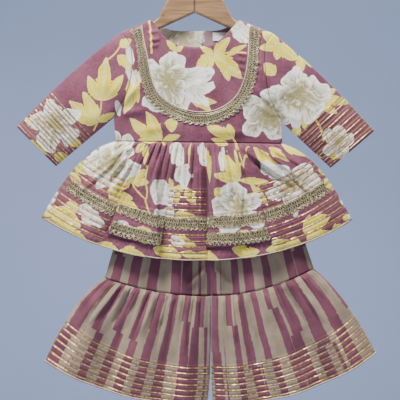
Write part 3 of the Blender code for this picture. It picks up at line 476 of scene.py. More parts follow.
def flowers_over(tree, colour, drift, slow, fine):
    """Flowers: three rings of petals round a heart. A ring's edge is at the radius
    base + swing * |cos(count * angle / 2 + turn)|^0.5. The petals darken inwards, in streaks that run out
    from the middle, and in the clefts between them."""
    bend = put(tree, "VectorMath", slow, (0.85, 0.85, 0.0), operation="MULTIPLY")
    ruffle = put(tree, "VectorMath", drift, (0.16, 0.16, 0.0), operation="MULTIPLY")
    x, z, number = attribute(tree, "flower", put(tree, "VectorMath", bend, ruffle, operation="ADD"))
    radius = put(tree, "VectorMath", put(tree, "CombineXYZ", x, z), operation="LENGTH", out=1)
    angle = put(tree, "Math", z, x, operation="ARCTAN2")
    own = put(tree, "Math", number, 1.7, operation="MULTIPLY")
    beams = put(tree, "CombineXYZ", *[
        put(tree, "Math", source, factor, operation="MULTIPLY")
        for source, factor in ((angle, 5.5), (radius, 1.6), (number, 3.1))
    ])
    streak = put(tree, "TexNoise", beams, named={"Scale": 2.2, "Detail": 2.0})
    lines = put(tree, "MapRange", streak, 0.44, 0.66, 0.0, 0.9)
    rings = ((5, 0.6, 0.44, 0.3, 0.5), (4, 0.4, 0.34, 1.9, 0.34), (5, 0.2, 0.24, 0.8, 0.22))
    for count, base, swing, turn, deep in rings:
        phase = put(tree, "Math", angle, count / 2, own, operation="MULTIPLY_ADD")
        phase = put(tree, "Math", put(tree, "Math", phase, turn, operation="ADD"), operation="COSINE")
        petal = put(tree, "Math", put(tree, "Math", phase, operation="ABSOLUTE"), 0.5, operation="POWER")
        outline = put(tree, "Math", petal, swing, base, operation="MULTIPLY_ADD")
        depth = put(tree, "Math", outline, radius, operation="SUBTRACT")
        inside = put(tree, "MapRange", depth, 0.0, 0.02, 0.0, 1.0)
        fall = put(tree, "MapRange", depth, 0.02, deep, 0.0, 0.75)
        shade = put(tree, "Math", fall, put(tree, "Math", fall, lines, operation="MULTIPLY"), operation="ADD")
        shade = put(tree, "Math", lines, 0.3, shade, operation="MULTIPLY_ADD")
        cleft = put(tree, "MapRange", petal, 0.3, 0.6, 0.8, 0.0)
        shade = put(tree, "Math", shade, cleft, operation="MAXIMUM", use_clamp=True)
        petals = put(tree, "MixRGB", shade, hex_colour("#F8F3E7"), hex_colour("#978A62"))
        colour = put(tree, "MixRGB", inside, colour, petals)
    burst = put(tree, "Math", put(tree, "Math", angle, 9.0, operation="MULTIPLY"), operation="COSINE")
    spread = put(tree, "Math", streak, 0.3, operation="MULTIPLY")
    reach = put(tree, "Math", burst, spread, 0.36, operation="MULTIPLY_ADD")
    reach = put(tree, "Math", reach, radius, operation="SUBTRACT")
    inside = put(tree, "MapRange", reach, -0.24, 0.16, 0.0, 0.92)
    heart = put(tree, "MixRGB", fine, hex_colour("#746A38"), hex_colour("#BBAF78"))
    return put(tree, "MixRGB", inside, colour, heart)


def printed_cotton(name, fade):
    """Printed cotton cambric: matt, softly napped, threads about 0.35 mm apart. The weave is drawn at 1 mm,
    since the real one is too fine to show. The ground is a dusty mauve, a little uneven as pigment print is.
    fade is how much of the print is lost on the reverse."""
    made, tree, shader = new_finish(
        name, 0.82, Sheen_Weight=0.12, Sheen_Roughness=0.5, Specular_IOR_Level=0.22,
    )
    place = put(tree, "UVMap", uv_map="cloth")
    fine = put(tree, "TexNoise", place, named={"Scale": 260.0, "Detail": 2.0})
    cloud = put(tree, "TexNoise", place, named={"Scale": 22.0, "Detail": 3.0})
    # Two vectors whose parts wander from -0.5 to 0.5 over the cloth move the motifs' edges about.
    ripple = put(tree, "TexNoise", place, named={"Scale": 48.0, "Detail": 3.0, "Roughness": 0.6}, out=1)
    drift = put(tree, "VectorMath", ripple, (0.5, 0.5, 0.5), operation="SUBTRACT")
    swell = put(tree, "TexNoise", place, named={"Scale": 27.0, "Detail": 1.0}, out=1)
    slow = put(tree, "VectorMath", swell, (0.5, 0.5, 0.5), operation="SUBTRACT")
    shade = put(tree, "Math", fine, 0.35, cloud, operation="MULTIPLY_ADD")
    level = put(tree, "MapRange", shade, 0.45, 0.95, 0.0, 1.0)
    colour = put(tree, "MixRGB", level, hex_colour("#643343"), hex_colour("#875160"))
    colour = stems_over(tree, colour)
    colour = leaves_over(tree, colour, drift, cloud, fine)
    colour = petals_over(tree, colour, place, drift, slow, fine)
    colour = flowers_over(tree, colour, drift, slow, fine)
    grain = put(tree, "MapRange", fine, 0.3, 0.7, 0.93, 1.05)
    colour = put(tree, "VectorMath", colour, named={"Scale": grain}, operation="SCALE")
    # 8C6A48 is the painted shade along the tucks.
    colour, normal = tuck_shade_and_ridges(tree, colour, weave_bump(tree, place, 1.0, 0.35), fine, "#8C6A48")
    colour = put(tree, "MixRGB", fade, colour, hex_colour("#CFC0BE"))
    tree.links.new(colour, shader.inputs["Base Color"])
    tree.links.new(normal, shader.inputs["Normal"])
    return made


PRINT = printed_cotton("cotton_cambric_printed", 0.0)
PRINT_REVERSE = printed_cotton("cotton_cambric_reverse", 0.25)

# The creases' heights are multiplied by this, so that they show in the light as they do on the real cloth.
BODICE_RELIEF = 2.2
rings_down = np.concatenate([np.linspace(0, 2, 30)[:-1], np.linspace(2, 3, 9)[:-1], np.linspace(3, 5, 20)])
places = np.concatenate([np.linspace(0, 1, 16)[:-1], np.linspace(1, 13, 150)[:-1], np.linspace(13, 14, 16)])


def bodice_skin(side, place, ring):
    """The bodice's points with its creases pushed out along y, and the cloth's plane: x and z, set to the
    side for the back. Creases fade to nothing at the outer edge."""
    grid = bodice_points(side, place, ring)
    x, z = grid[..., 0], grid[..., 2]
    calm = smooth(5 - ring, 0, 0.6)[:, None] * smooth(np.minimum(place, 14 - place), 0, 0.5)[None, :]
    relief = BODICE_RELIEF * creases(x, z, BODICE_CREASES if side < 0 else BACK_CREASES) * calm
    grid[..., 1] += side * relief
    plane = np.dstack([x + 0.8 * relief, z]) if side < 0 else np.dstack([BACK_PRINT - x + 0.8 * relief, z])
    return grid, plane


grid, plane = bodice_skin(-1, places, rings_down)
bodice_front = add_skin("bodice_front", grid, plane, (PRINT, PRINT_REVERSE))
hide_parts("kurti_bodice_front")

# The back has its middle column twice, and parts there above the slit's end, at ring 2.
middle = np.searchsorted(places, 7.0)
split = np.concatenate([places[:middle], [7.0, 7.0], places[middle:][places[middle:] > 7.0]])
grid, plane = bodice_skin(1, split, rings_down)
gap = SLIT_HALF_GAP * np.clip(1 - 0.35 * rings_down, 0, 1) * (rings_down < 2)
grid[:, middle, 0] -= gap
grid[:, middle + 1, 0] += gap
bodice_back = add_skin("bodice_back", grid, plane, (PRINT, PRINT_REVERSE), skip=[middle])
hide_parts("kurti_bodice_back")


# Sleeves
# Three-quarter sleeves in the same cambric, sewn into the armholes and pressed flat, with the upper
# edge bowed and diagonal creases from the underarm. Narrow stitched tucks run round above each cuff.

SLEEVES = {
    "left": {"cuff_top": (-284.8, -276.8), "cuff_under": (-222.4, -339.2), "hand": -1},
    "right": {"cuff_top": (286.4, -283.2), "cuff_under": (217.0, -342.0), "hand": 1},
}
# Tucks above the cuff: the first one's distance from it, and the distance from one to the next.
CUFF_FIRST, CUFF_TUCK = 4.0, 5.75
SLEEVE_FOLDS = [
    # share along, share across, share along, share across, height, half width
    (0.02, 0.75, 0.4, 0.35, 3.0, 0.10), (0.1, 0.9, 0.62, 0.62, 2.4, 0.09),
    (0.45, 0.1, 0.75, 0.5, 1.8, 0.10), (0.03, 0.3, 0.3, 0.22, 1.2, 0.05),
    (0.05, 0.55, 0.25, 0.62, 1.0, 0.05), (0.5, 0.85, 0.8, 0.7, 0.9, 0.06),
    (0.62, 0.3, 0.95, 0.34, 0.8, 0.07),
]


def sleeve_points(shape, place, side, share):
    """A sleeve from its armhole, share 0, to its cuff, share 1. place runs 0 to 4 from the shoulder down the
    armhole, and across is a quarter of it. Its depth is 9 mm * sin(pi * across)^0.55, and the upper edge is
    bowed up by 7 mm * sin(pi * share)."""
    hand = shape["hand"]
    station = place if hand < 0 else 14 - place
    start, depth = edge_of_bodice(station)
    step = np.where((place < 0.1) == (hand < 0), 0.05, -0.05)
    tangent = edge_of_bodice(station + step)[0] - start
    tangent /= np.linalg.norm(tangent, axis=1, keepdims=True)
    outward = np.stack([tangent[:, 1], -tangent[:, 0]], axis=1)
    outward *= np.where(outward[:, :1] * hand < 0, -1, 1)
    across = place / 4
    top, under = np.array(shape["cuff_top"]), np.array(shape["cuff_under"])
    cuff = top + (under - top) * across[:, None]
    t = share if share.ndim == 2 else share[:, None]
    flat = (start + outward * 0.8)[None] * (1 - t[..., None]) + cuff[None] * t[..., None]
    flat[..., 1] += 7.0 * np.sin(np.pi * t) * (1 - across[None])
    rim = np.where((place == 0) | (place == 4), 0, np.sin(np.pi * across))[None]
    settled = smooth(t, 0, 0.3)
    round_depth = (LAID + depth)[None] * (1 - settled) + 9.0 * rim**0.55 * settled
    for t0, a0, t1, a1, height, half in SLEEVE_FOLDS:
        u = np.clip((t - t0) / (t1 - t0), 0, 1)
        bell = np.exp(-(((across[None] - a0 - (a1 - a0) * u) / half) ** 2))
        round_depth = round_depth + height * np.sin(np.pi * u) * rim * bell
    y = side[None] * np.where(rim == 0, 0, round_depth)
    return np.dstack([flat[..., 0], y, flat[..., 1]])


arm_places = 4 * (1 - np.cos(np.linspace(0, np.pi, 60))) / 2
round_arm = np.concatenate([arm_places, arm_places[::-1]])
arm_sides = np.repeat([-1.0, 1.0], 60)
arm_shares = np.linspace(0, 1, 76)
for hand, shape in SLEEVES.items():
    grid = sleeve_points(shape, round_arm, arm_sides, arm_shares)
    x = grid[..., 0]
    plane = np.dstack([np.where(arm_sides[None] < 0, x, BACK_PRINT - x), grid[..., 2]])
    from_cuff = (1 - arm_shares)[:, None] * np.linalg.norm(grid[-1] - grid[0], axis=1)[None]
    tucks = (from_cuff - CUFF_FIRST) / CUFF_TUCK + 0.5, 1 - smooth(from_cuff, 75, 77)
    add_skin(f"sleeve_{hand}", grid, plane, (PRINT, PRINT_REVERSE), skip=[59], tucks=tucks)
    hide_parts(f"kurti_sleeve_{hand}")


# Peplum
# The kurti's skirt, gathered into the waist seam and flared to a curved hem, front and back alike. The
# gathers crowd at the waist, some fall as folds to the hem, and one lies over its neighbour.

WAIST_CENTRE, WAIST_HALF = 6.2, 133.3
HEM_CENTRE, HEM_HALF = 3.0, 248.4
# Shares of the way down: the first gold line, and the distance from one tuck to the next.
GOLD_FIRST, PEPLUM_TUCK = 0.4176, 0.052
# The two parts of the front, from u to u, that are covered by the tiers and bear no tucks or gold lines.
COVERED = ((-0.615, -0.248), (0.069, 0.502))
PEPLUM_FOLDS = [
    # x at the waist, x at the hem, height, half width at the waist, at the hem, first share
    (-88, -168, 2.6, 7, 20, 0.0), (-66, -58, 4.6, 6, 15, 0.0), (-50, -40, -4.2, 6, 12, 0.05),
    (-16, -10, 2.4, 8, 16, 0.0), (14, 22, -5.6, 6, 10, 0.08), (32, 48, 3.6, 7, 16, 0.0),
    (60, 104, 3.4, 8, 18, 0.0), (84, 158, -3.0, 7, 16, 0.0), (104, 188, 3.0, 8, 18, 0.1),
]
PEPLUM_BACK_FOLDS = [
    (-92, -176, 3.0, 7, 20, 0.0), (-60, -92, -3.6, 7, 16, 0.05), (-30, -36, 4.0, 7, 16, 0.0),
    (8, 14, -3.8, 7, 14, 0.0), (44, 70, 3.8, 7, 17, 0.0), (78, 134, -3.2, 7, 17, 0.1),
    (100, 186, 3.0, 8, 18, 0.0),
]
# The creases' heights are multiplied by this, as on the bodice.
PEPLUM_RELIEF = 2.3
PEPLUM_CREASES = [
    (-62, -330, -58, -500, 2.6, 9, 1.4), (-54, -302, -52, -372, -1.8, 3, 4),
    (19, -326, 21, -520, -3.0, 2, 5), (8, -312, 10, -432, 1.4, 6, 2.5), (30, -318, 34, -430, 2.2, 2, 8),
    (-104, -312, -196, -392, 2.2, 6, 3), (-96, -306, -172, -352, 1.8, 5, 3),
    (-90, -316, -142, -376, -1.6, 4, 4), (-84, -312, -118, -362, 1.5, 4, 3),
    (-70, -304, -84, -380, 1.2, 4, 3), (-34, -304, -36, -360, 1.4, 4, 2.5),
    (-24, -304, -26, -346, -1.2, 3, 3), (-8, -304, -6, -366, 1.4, 4, 3), (2, -304, 2, -350, -1.6, 3, 3),
    (44, -308, 58, -388, 2.2, 3, 5), (58, -306, 76, -352, 2.0, 3, 4), (72, -308, 150, -372, 3.0, 3, 6),
    (88, -330, 168, -384, -3.2, 4, 5), (96, -308, 178, -366, 2.6, 3, 5), (112, -308, 196, -352, 2.2, 3, 5),
    (140, -350, 190, -395, -3.2, 1.6, 3), (-136, -356, -108, -324, 1.6, 4, 1.5),
    (-170, -332, -92, -306, 1.4, 5, 2), (-160, -314, -100, -300, 1.1, 4, 2),
    (-150, -398, -132, -440, 1.6, 8, 8), (120, -420, 140, -470, 1.8, 9, 9),
    (-100, -450, -92, -486, 1.4, 8, 8), (60, -400, 66, -478, 1.6, 9, 7), (196, -400, 214, -446, 1.5, 9, 8),
    (-206, -408, -222, -436, 1.2, 8, 8), (76, -360, 72, -437, 1.4, 6, 1.6),
]
PEPLUM_BACK_CREASES = [
    (-104, -308, -184, -390, 2.0, 6, 4), (-76, -306, -110, -400, 1.6, 5, 4),
    (-44, -304, -56, -420, -1.6, 5, 4), (-12, -304, -10, -400, 1.5, 5, 3), (26, -306, 34, -430, 1.8, 3, 6),
    (58, -306, 92, -410, 1.5, 3, 6), (92, -308, 164, -392, 1.8, 3, 6), (116, -310, 204, -380, 1.2, 4, 5),
    (-120, -306, -214, -380, 1.2, 5, 4),
]


def fold_height(table, x, share):
    """Sum of folds that widen on their way down: height * exp(-((x - centre) / half)^2)."""
    total = np.zeros(np.broadcast(x, share).shape)
    for x_top, x_low, height, half_top, half_low, first in table:
        centre = x_top + (x_low - x_top) * share
        half = half_top + (half_low - half_top) * share
        total += height * smooth(share, first - 0.05, first + 0.3) * np.exp(-(((x - centre) / half) ** 2))
    return total


def peplum_relief(side, u, share, x, z):
    """Gathers, 30 wide and 68 fine ones across the piece, that die away at uneven lengths as flares of
    2.4 mm * sin(6.5 pi u + drift) grow. Then the folds, the creases, and from share 0.4 on puckered tucks."""
    wide = 4.2 * pleats(30 * np.pi * u + 2.4 * np.sin(4 * u) + side) - 1.2
    fine = 2.3 * pleats(68 * np.pi * u + 4.0 * np.sin(7 * u) + side) * (0.6 + 0.4 * np.sin(11 * u + 1))
    length = 0.16 + 0.24 * np.sin(9 * u + 2 * side) ** 2
    wave = wide * smooth(share, 0, 0.05) * (1 - smooth(share, 0.12, length + 0.4))
    wave = wave + fine * smooth(share, 0, 0.015) * (1 - smooth(share, 0.04, length))
    wave = wave + 2.4 * np.sin(6.5 * np.pi * u + 0.8 * np.sin(5 * u) + 2 * side) * smooth(share, 0.2, 1)
    wave = wave + fold_height(PEPLUM_FOLDS if side < 0 else PEPLUM_BACK_FOLDS, x, share)
    pucker = 0.5 + 0.35 * np.sin(58 * np.pi * u + 3 * np.sin(20 * share))
    wave = wave + np.abs(np.sin(np.pi * share / PEPLUM_TUCK)) * pucker * smooth(share, 0.38, 0.42)
    return wave + PEPLUM_RELIEF * creases(x, z, PEPLUM_CREASES if side < 0 else PEPLUM_BACK_CREASES)


def peplum_points(side, across, share):
    """Rays from the waist to the hem, u from -1 to 1 across and t from 0 to 1 down. Near the side seams they
    are bowed up by 50 mm * |u|^3 * 2 t (1 - t). The hem's height is -490 + 66 * |u|^2.25 - 2 u, and the depth
    is 9 to 19.5 mm times 1 - |u|^6, plus the relief."""
    u, t = across[None, :], share[:, None]
    waist_z = -302.5 - 2 * u
    hem_x = HEM_CENTRE + HEM_HALF * u
    hem_z = -490 + 66 * np.abs(u) ** 2.25 - 2 * u
    x = (WAIST_CENTRE + WAIST_HALF * u) * (1 - t) + hem_x * t
    z = waist_z * (1 - t) + hem_z * t + 50 * np.abs(u) ** 3 * 2 * t * (1 - t)
    rim = 1 - np.abs(u) ** 6
    relief = peplum_relief(side, u, t, x, z) * (1 - np.abs(u) ** 10) * np.sqrt(rim)
    y = side * (LAID + (9 + 6 * smooth(t, 0, 0.28) + 4.5 * smooth(t, 0.5, 1)) * rim + relief)
    return np.dstack([x, y, z]), relief


def peplum_plane(side, grid, relief):
    """The cloth's plane under the folds: x is drawn sideways by the relief, as the print is in a fold."""
    x = grid[..., 0]
    return np.dstack([(x if side < 0 else BACK_PRINT - x) + 0.9 * relief, grid[..., 2]])


def peplum_tucks(side, across, share):
    """The tuck lines, one in every PEPLUM_TUCK of the way down, with a line's middle on the first gold line.
    On the front they leave out what the two tiers cover."""
    u, t = across[None, :], share[:, None]
    strong = smooth(t, 0.39, 0.4) + 0 * u
    for first, last in COVERED if side < 0 else ():
        begun, ended = (smooth(u, edge - 0.005, edge + 0.005) for edge in (first, last))
        strong = strong * (1 - begun * (1 - ended))
    return (t - GOLD_FIRST) / PEPLUM_TUCK + 0.5 + 0 * u, strong


for name, side, columns, rows in (("front", -1, 360, 76), ("back", 1, 280, 60)):
    # Columns crowd towards the side seams, where the piece turns.
    turn = 0.92 * np.pi / 2
    across = np.sin(np.linspace(-turn, turn, columns)) / np.sin(turn)
    shares = np.linspace(0, 1, rows)
    grid, relief = peplum_points(side, across, shares)
    plane = peplum_plane(side, grid, relief)
    tucks = peplum_tucks(side, across, shares)
    add_skin(f"peplum_{name}", grid, plane, (PRINT, PRINT_REVERSE), tucks=tucks)
    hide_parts(f"kurti_peplum_{name}")


# Flaps
# Two short tiers of the same print lie on the front of the peplum. Their upper part runs on into it, and
# their free lower edge stands off it a little, so it throws a shadow on the hem.

# First and last place across the peplum's front, out of 56.
FLAPS = {"left": (11, 21), "right": (30, 42)}
FLAP_TOP, FLAP_LOW = 0.59, 0.885


def flap_points(name, across, share):
    """The peplum's surface moved out along its normals: 1 mm at the flap's top, 3.4 mm at its free edge."""
    first, last = FLAPS[name]
    u = -1 + 2 * (first + (last - first) * across) / 56
    t = FLAP_TOP + (FLAP_LOW - FLAP_TOP) * share
    grid, relief = peplum_points(-1, u, t)
    lift = 1.0 + 2.4 * smooth(share, 0, 0.8)
    return grid + normals(grid) * lift[:, None, None], relief


for name in FLAPS:
    grid, relief = flap_points(name, np.linspace(0, 1, 70), np.linspace(0, 1, 34))
    add_skin(f"flap_{name}", grid, peplum_plane(-1, grid, relief), (PRINT, PRINT_REVERSE), 0.6)
    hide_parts(f"kurti_flap_{name}")


# Lace
# A woven metallic braid about 20 mm wide, of dull gold and grey thread, with a piping at its inner edge
# and small scallops at its outer one. It is stitched round the neck, above the hem and on the flaps.

LACE_REPEAT = 8.0
PEPLUM_LACE = 20.0


def add_strands(name, runs, finish, sides=4):
    """Threads as tubes in one mesh. A run is its centres, its normals, its half width and half height: a
    corner is centre + half width * cos(a) * side + half height * sin(a) * normal, with the ends closed."""
    points, faces, first = [], [], 0
    angles = 2 * np.pi * (np.arange(sides) + 0.5) / sides
    for centres, out, half_width, half_height in runs:
        tangent = np.gradient(centres, axis=0)
        side = np.cross(tangent, out)
        side /= np.maximum(np.linalg.norm(side, axis=1, keepdims=True), 1e-9)
        up = np.cross(side, tangent)
        up /= np.maximum(np.linalg.norm(up, axis=1, keepdims=True), 1e-9)
        ring = half_width * np.cos(angles)[None, :, None] * side[:, None]
        ring = ring + half_height * np.sin(angles)[None, :, None] * up[:, None]
        points.append((centres[:, None] + ring).reshape(-1, 3))
        index = first + np.arange(len(centres) * sides).reshape(-1, sides)
        turned = np.roll(index, -1, axis=1)
        quads = np.stack([index[:-1], index[1:], turned[1:], turned[:-1]], axis=-1)
        faces += [*quads.reshape(-1, 4).tolist(), index[0].tolist(), index[-1][::-1].tolist()]
        first += len(centres) * sides
    mesh = bpy.data.meshes.new(name)
    mesh.from_pydata((np.concatenate(points) / 1000).tolist(), [], faces)
    mesh.shade_smooth()
    mesh.materials.append(finish)
    obj = bpy.data.objects.new(name, mesh)
    bpy.context.scene.collection.objects.link(obj)
    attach(obj, "root")
    return obj


def over(grid, row, column, lift):
    """Points over a grid at fractional rows and columns, blended from the four nearest, then lifted along
    the grid's normals, and those normals."""
    row = np.clip(row, 0, grid.shape[0] - 1.001)
    column = np.clip(column, 0, grid.shape[1] - 1.001)
    i, j = row.astype(int), column.astype(int)
    a, b = (row - i)[..., None], (column - j)[..., None]
    found = []
    for values in (grid, normals(grid)):
        top = values[i, j] * (1 - b) + values[i, j + 1] * b
        low = values[i + 1, j] * (1 - b) + values[i + 1, j + 1] * b
        found.append(top * (1 - a) + low * a)
    out = found[1] / np.linalg.norm(found[1], axis=-1, keepdims=True)
    return found[0] + out * np.expand_dims(lift + 0.0 * row, -1), out


def flecked(name, roughness, metallic, dark, light, scale, low=0.0, high=1.0, detail=2.0):
    """A finish in two tones by a fine noise on the piece: dark where it is under low, light over high."""
    made, tree, shader = new_finish(name, roughness, metallic)
    speck = put(tree, "TexNoise", put(tree, "TexCoord", out=3), named={"Scale": scale, "Detail": detail})
    tone = put(tree, "MapRange", speck, low, high, 0.0, 1.0)
    mixed = put(tree, "MixRGB", tone, hex_colour(dark), hex_colour(light))
    tree.links.new(mixed, shader.inputs["Base Color"])
    return made


# Metallic braid, in flecks about 1.5 mm in size: a net under bright thread, painted dark with the shade
# that lies in the gaps between the threads. The real threads are about 0.3 mm thick, and are drawn at 0.8 mm.
LACE_NET_SHADED = flecked("lace_ground_painted_shade", 0.7, 0.2, "#3C3226", "#756848", 620.0, 0.38, 0.62, 1.0)
LACE_THREAD = flecked("lace_thread_metallic", 0.38, 0.55, "#7C6D4C", "#E2D4AC", 620.0, 0.38, 0.62, 1.0)


def add_lace(name, grid, width, nodes, rise=0.0):
    """Braid over a grid whose rows run from 2 mm above the braid to 4 mm below it. Its threads are given by
    the length along it, a, and the distance across it, w, in millimetres: sines of one repeat that cross,
    straight cords, and scallops w = width - 4.2 + 4.6 * |sin(pi * a / repeat)|. rise lifts its first end."""
    centre = grid[grid.shape[0] // 2]
    passed = np.concatenate([[0], np.cumsum(np.linalg.norm(np.diff(centre, axis=0), axis=1))])
    repeats = max(round(passed[-1] / LACE_REPEAT), 1)
    a = np.linspace(0.4, passed[-1] - 0.4, repeats * 10 + 1)
    turn = np.pi * np.linspace(0, repeats, repeats * 10 + 1)

    def laid(a, w, lift):
        row = (w - rise * (1 - a / passed[-1]) ** 1.5 + 2) / (width + 6) * (grid.shape[0] - 1)
        return over(grid, row, np.interp(a, passed, np.arange(len(passed))), lift)

    scallop = np.abs(np.sin(turn))
    # The ground sheet under the threads is painted dark: it stands for the shade in the gaps between them.
    a_net, scallop_net = a[::2], scallop[::2]
    edge = (width - 4.2 + 3.4 * scallop_net)[None]
    net_w = 0.4 + (edge - 0.4) * np.linspace(0, 1, 6)[:, None]
    base, _ = laid(np.broadcast_to(a_net[None], net_w.shape), net_w, CLOTH_THICK / 2 + 0.3)
    plane = np.dstack([np.broadcast_to(a_net[None], net_w.shape), net_w])
    net = add_skin(name + "_ground", base, plane, (LACE_NET_SHADED,), 0.25, motifs=False)
    low = CLOTH_THICK / 2 + 0.75
    threads = [
        (0.8 + 0 * a, 0.15 + 0 * a, 0.6), (2.4 + 0 * a, 0 * a, 0.4), (width - 4.4 + 0 * a, 0 * a, 0.45),
        (width - 4.2 + 4.6 * scallop, 0.1 + 0 * a, 0.6), (width - 4.2 + 2.3 * scallop, 0 * a, 0.4),
    ]
    for middle, swing, phase in ((0.3, 0.17, 0), (0.58, 0.16, 0.5)):
        for wave in (2 * turn + phase, 2 * turn + phase + math.pi):
            threads.append((width * (middle + swing * np.sin(wave)), 0.25 + 0.25 * np.cos(wave), 0.42))
    runs = [(*laid(a, w, low + lift), half, half * 0.8) for w, lift, half in threads]
    braid = add_strands(name, runs, LACE_THREAD)
    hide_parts(*nodes)
    return [net, braid]


lace_rings = np.linspace(2 - 2 / LACE_WIDTH, 2 + (LACE_WIDTH + 4) / LACE_WIDTH, 16)
neck_grid, _ = bodice_skin(-1, np.linspace(0.12, 13.88, 240), lace_rings)
neck_lace = add_lace("neck_lace", neck_grid, LACE_WIDTH, ["kurti_neck_lace"])

# Bias piping of pale cotton, flecked by its stitches.
PIPING = flecked("cotton_piping_pale", 0.8, 0.0, "#C2A880", "#EEE0C4", 300.0)
piping_places = np.linspace(0, 239, 420)
piping_row = 2.0 / (LACE_WIDTH + 6) * 15 - 0.5
piping_run = over(neck_grid, 0 * piping_places + piping_row, piping_places, 1.0)
neck_piping = add_strands("neck_piping", [(*piping_run, 0.8, 0.7)], PIPING)


def band_shares(first, reach):
    """Shares down a piece for the rows under a braid, from 2 mm above it to 4 mm below it. The braid's own
    width is the given reach."""
    return first + reach * np.linspace(-2, PEPLUM_LACE + 4, 14) / PEPLUM_LACE


HEM_BANDS = {
    # side, first and last place across, share of the way down
    "hem_lace_left": (-1, -0.965, -0.612, 0.635),
    "hem_lace_middle": (-1, -0.245, 0.066, 0.637),
    "hem_lace_right": (-1, 0.505, 0.965, 0.635),
    "hem_lace_back": (1, -0.965, 0.965, 0.65),
}
for name, (side, first, last, share) in HEM_BANDS.items():
    grid, _ = peplum_points(side, np.linspace(first, last, 200), band_shares(share, 0.105))
    add_lace(name, grid, PEPLUM_LACE, ["kurti_" + name])
flap_lace = {"left": [], "right": []}
for name, place, first, rise in (
    ("left", "upper", 0.1525, 11.0), ("left", "lower", 0.63, 2.0),
    ("right", "upper", 0.1525, 4.0), ("right", "lower", 0.63, 4.0),
):
    grid, _ = flap_points(name, np.linspace(0.01, 0.99, 90), band_shares(first, 0.356))
    node = f"kurti_flap_{name}_lace_{place}"
    flap_lace[name] += add_lace(f"flap_{name}_lace_{place}", grid, PEPLUM_LACE, [node], rise)


# Gold lines
# Flat gold thread, about 1 mm wide and drawn at 1.4 mm so that it shows, couched down along narrow puckered
# tucks: every second one round the cuffs, and each one near the hems. Pale piping ends the hems.

GOLD_SHARES = [GOLD_FIRST, 0.4656, 0.522, 0.574, 0.784, 0.836, 0.884, 0.932]
CUFF_DISTANCES = [CUFF_FIRST + 2 * CUFF_TUCK * number for number in range(7)]
GOLD_LIFT = CLOTH_THICK / 2 + 0.5
# Metal film wound on a core: bright, with darker flecks where it turns.
GOLD = flecked("gold_thread_flat", 0.32, 0.85, "#B08048", "#F8DDA8", 260.0, 0.42, 0.6, 1.0)


def row_over(points_at, share, lift):
    """The middle one of three rows that lie close together on a surface, lifted along its normals."""
    grid = points_at(np.array([share - 0.008, share, share + 0.008]))
    out = normals(grid)[1]
    return grid[1] + out * lift, out


breaks = np.array([-0.975, *COVERED[0], *COVERED[1], 0.975]).reshape(-1, 2)
for name, side, spans in (("peplum_front", -1, breaks), ("peplum_back", 1, [(-0.975, 0.975)])):
    runs = []
    for share in GOLD_SHARES:
        for first, last in spans:
            u = np.linspace(first, last, round(150 * (last - first)))
            row = row_over(lambda shares: peplum_points(side, u, shares)[0], share, GOLD_LIFT)
            runs.append((*row, 0.7, 0.35))
    add_strands(f"gold_lines_{name}", runs, GOLD)
    u = np.linspace(-0.98, 0.98, 300)
    edge = row_over(lambda shares: peplum_points(side, u, shares)[0], 0.992, GOLD_LIFT)
    add_strands(f"hem_piping_{name}", [(*edge, 0.8, 0.6)], PIPING)
cuff_places = np.concatenate([np.linspace(0.02, 3.98, 60), np.linspace(3.98, 0.02, 60)])
cuff_sides = np.repeat([-1.0, 1.0], 60)
for hand, shape in SLEEVES.items():
    runs = []
    for distance in CUFF_DISTANCES:
        for half in (slice(0, 60), slice(60, 120)):
            # A line keeps its distance from the cuff, so its share differs from place to place.
            places, sides = cuff_places[half], cuff_sides[half]
            ends = sleeve_points(shape, places, sides, np.array([0.0, 1.0]))
            drawn = 1 - distance / np.linalg.norm(ends[1] - ends[0], axis=1)
            at_cuff = lambda shares: sleeve_points(shape, places, sides, shares[:, None] + drawn)
            runs.append((*row_over(at_cuff, 0.0, GOLD_LIFT), 0.7, 0.35))
    add_strands(f"gold_lines_sleeve_{hand}", runs, GOLD)


# Sharara
# Flared trousers in ikat-striped cotton: an elastic waistband, two upper legs that meet at the crotch,
# and two deep flounces gathered into the knee seams. Stripes step sideways as ikat does.

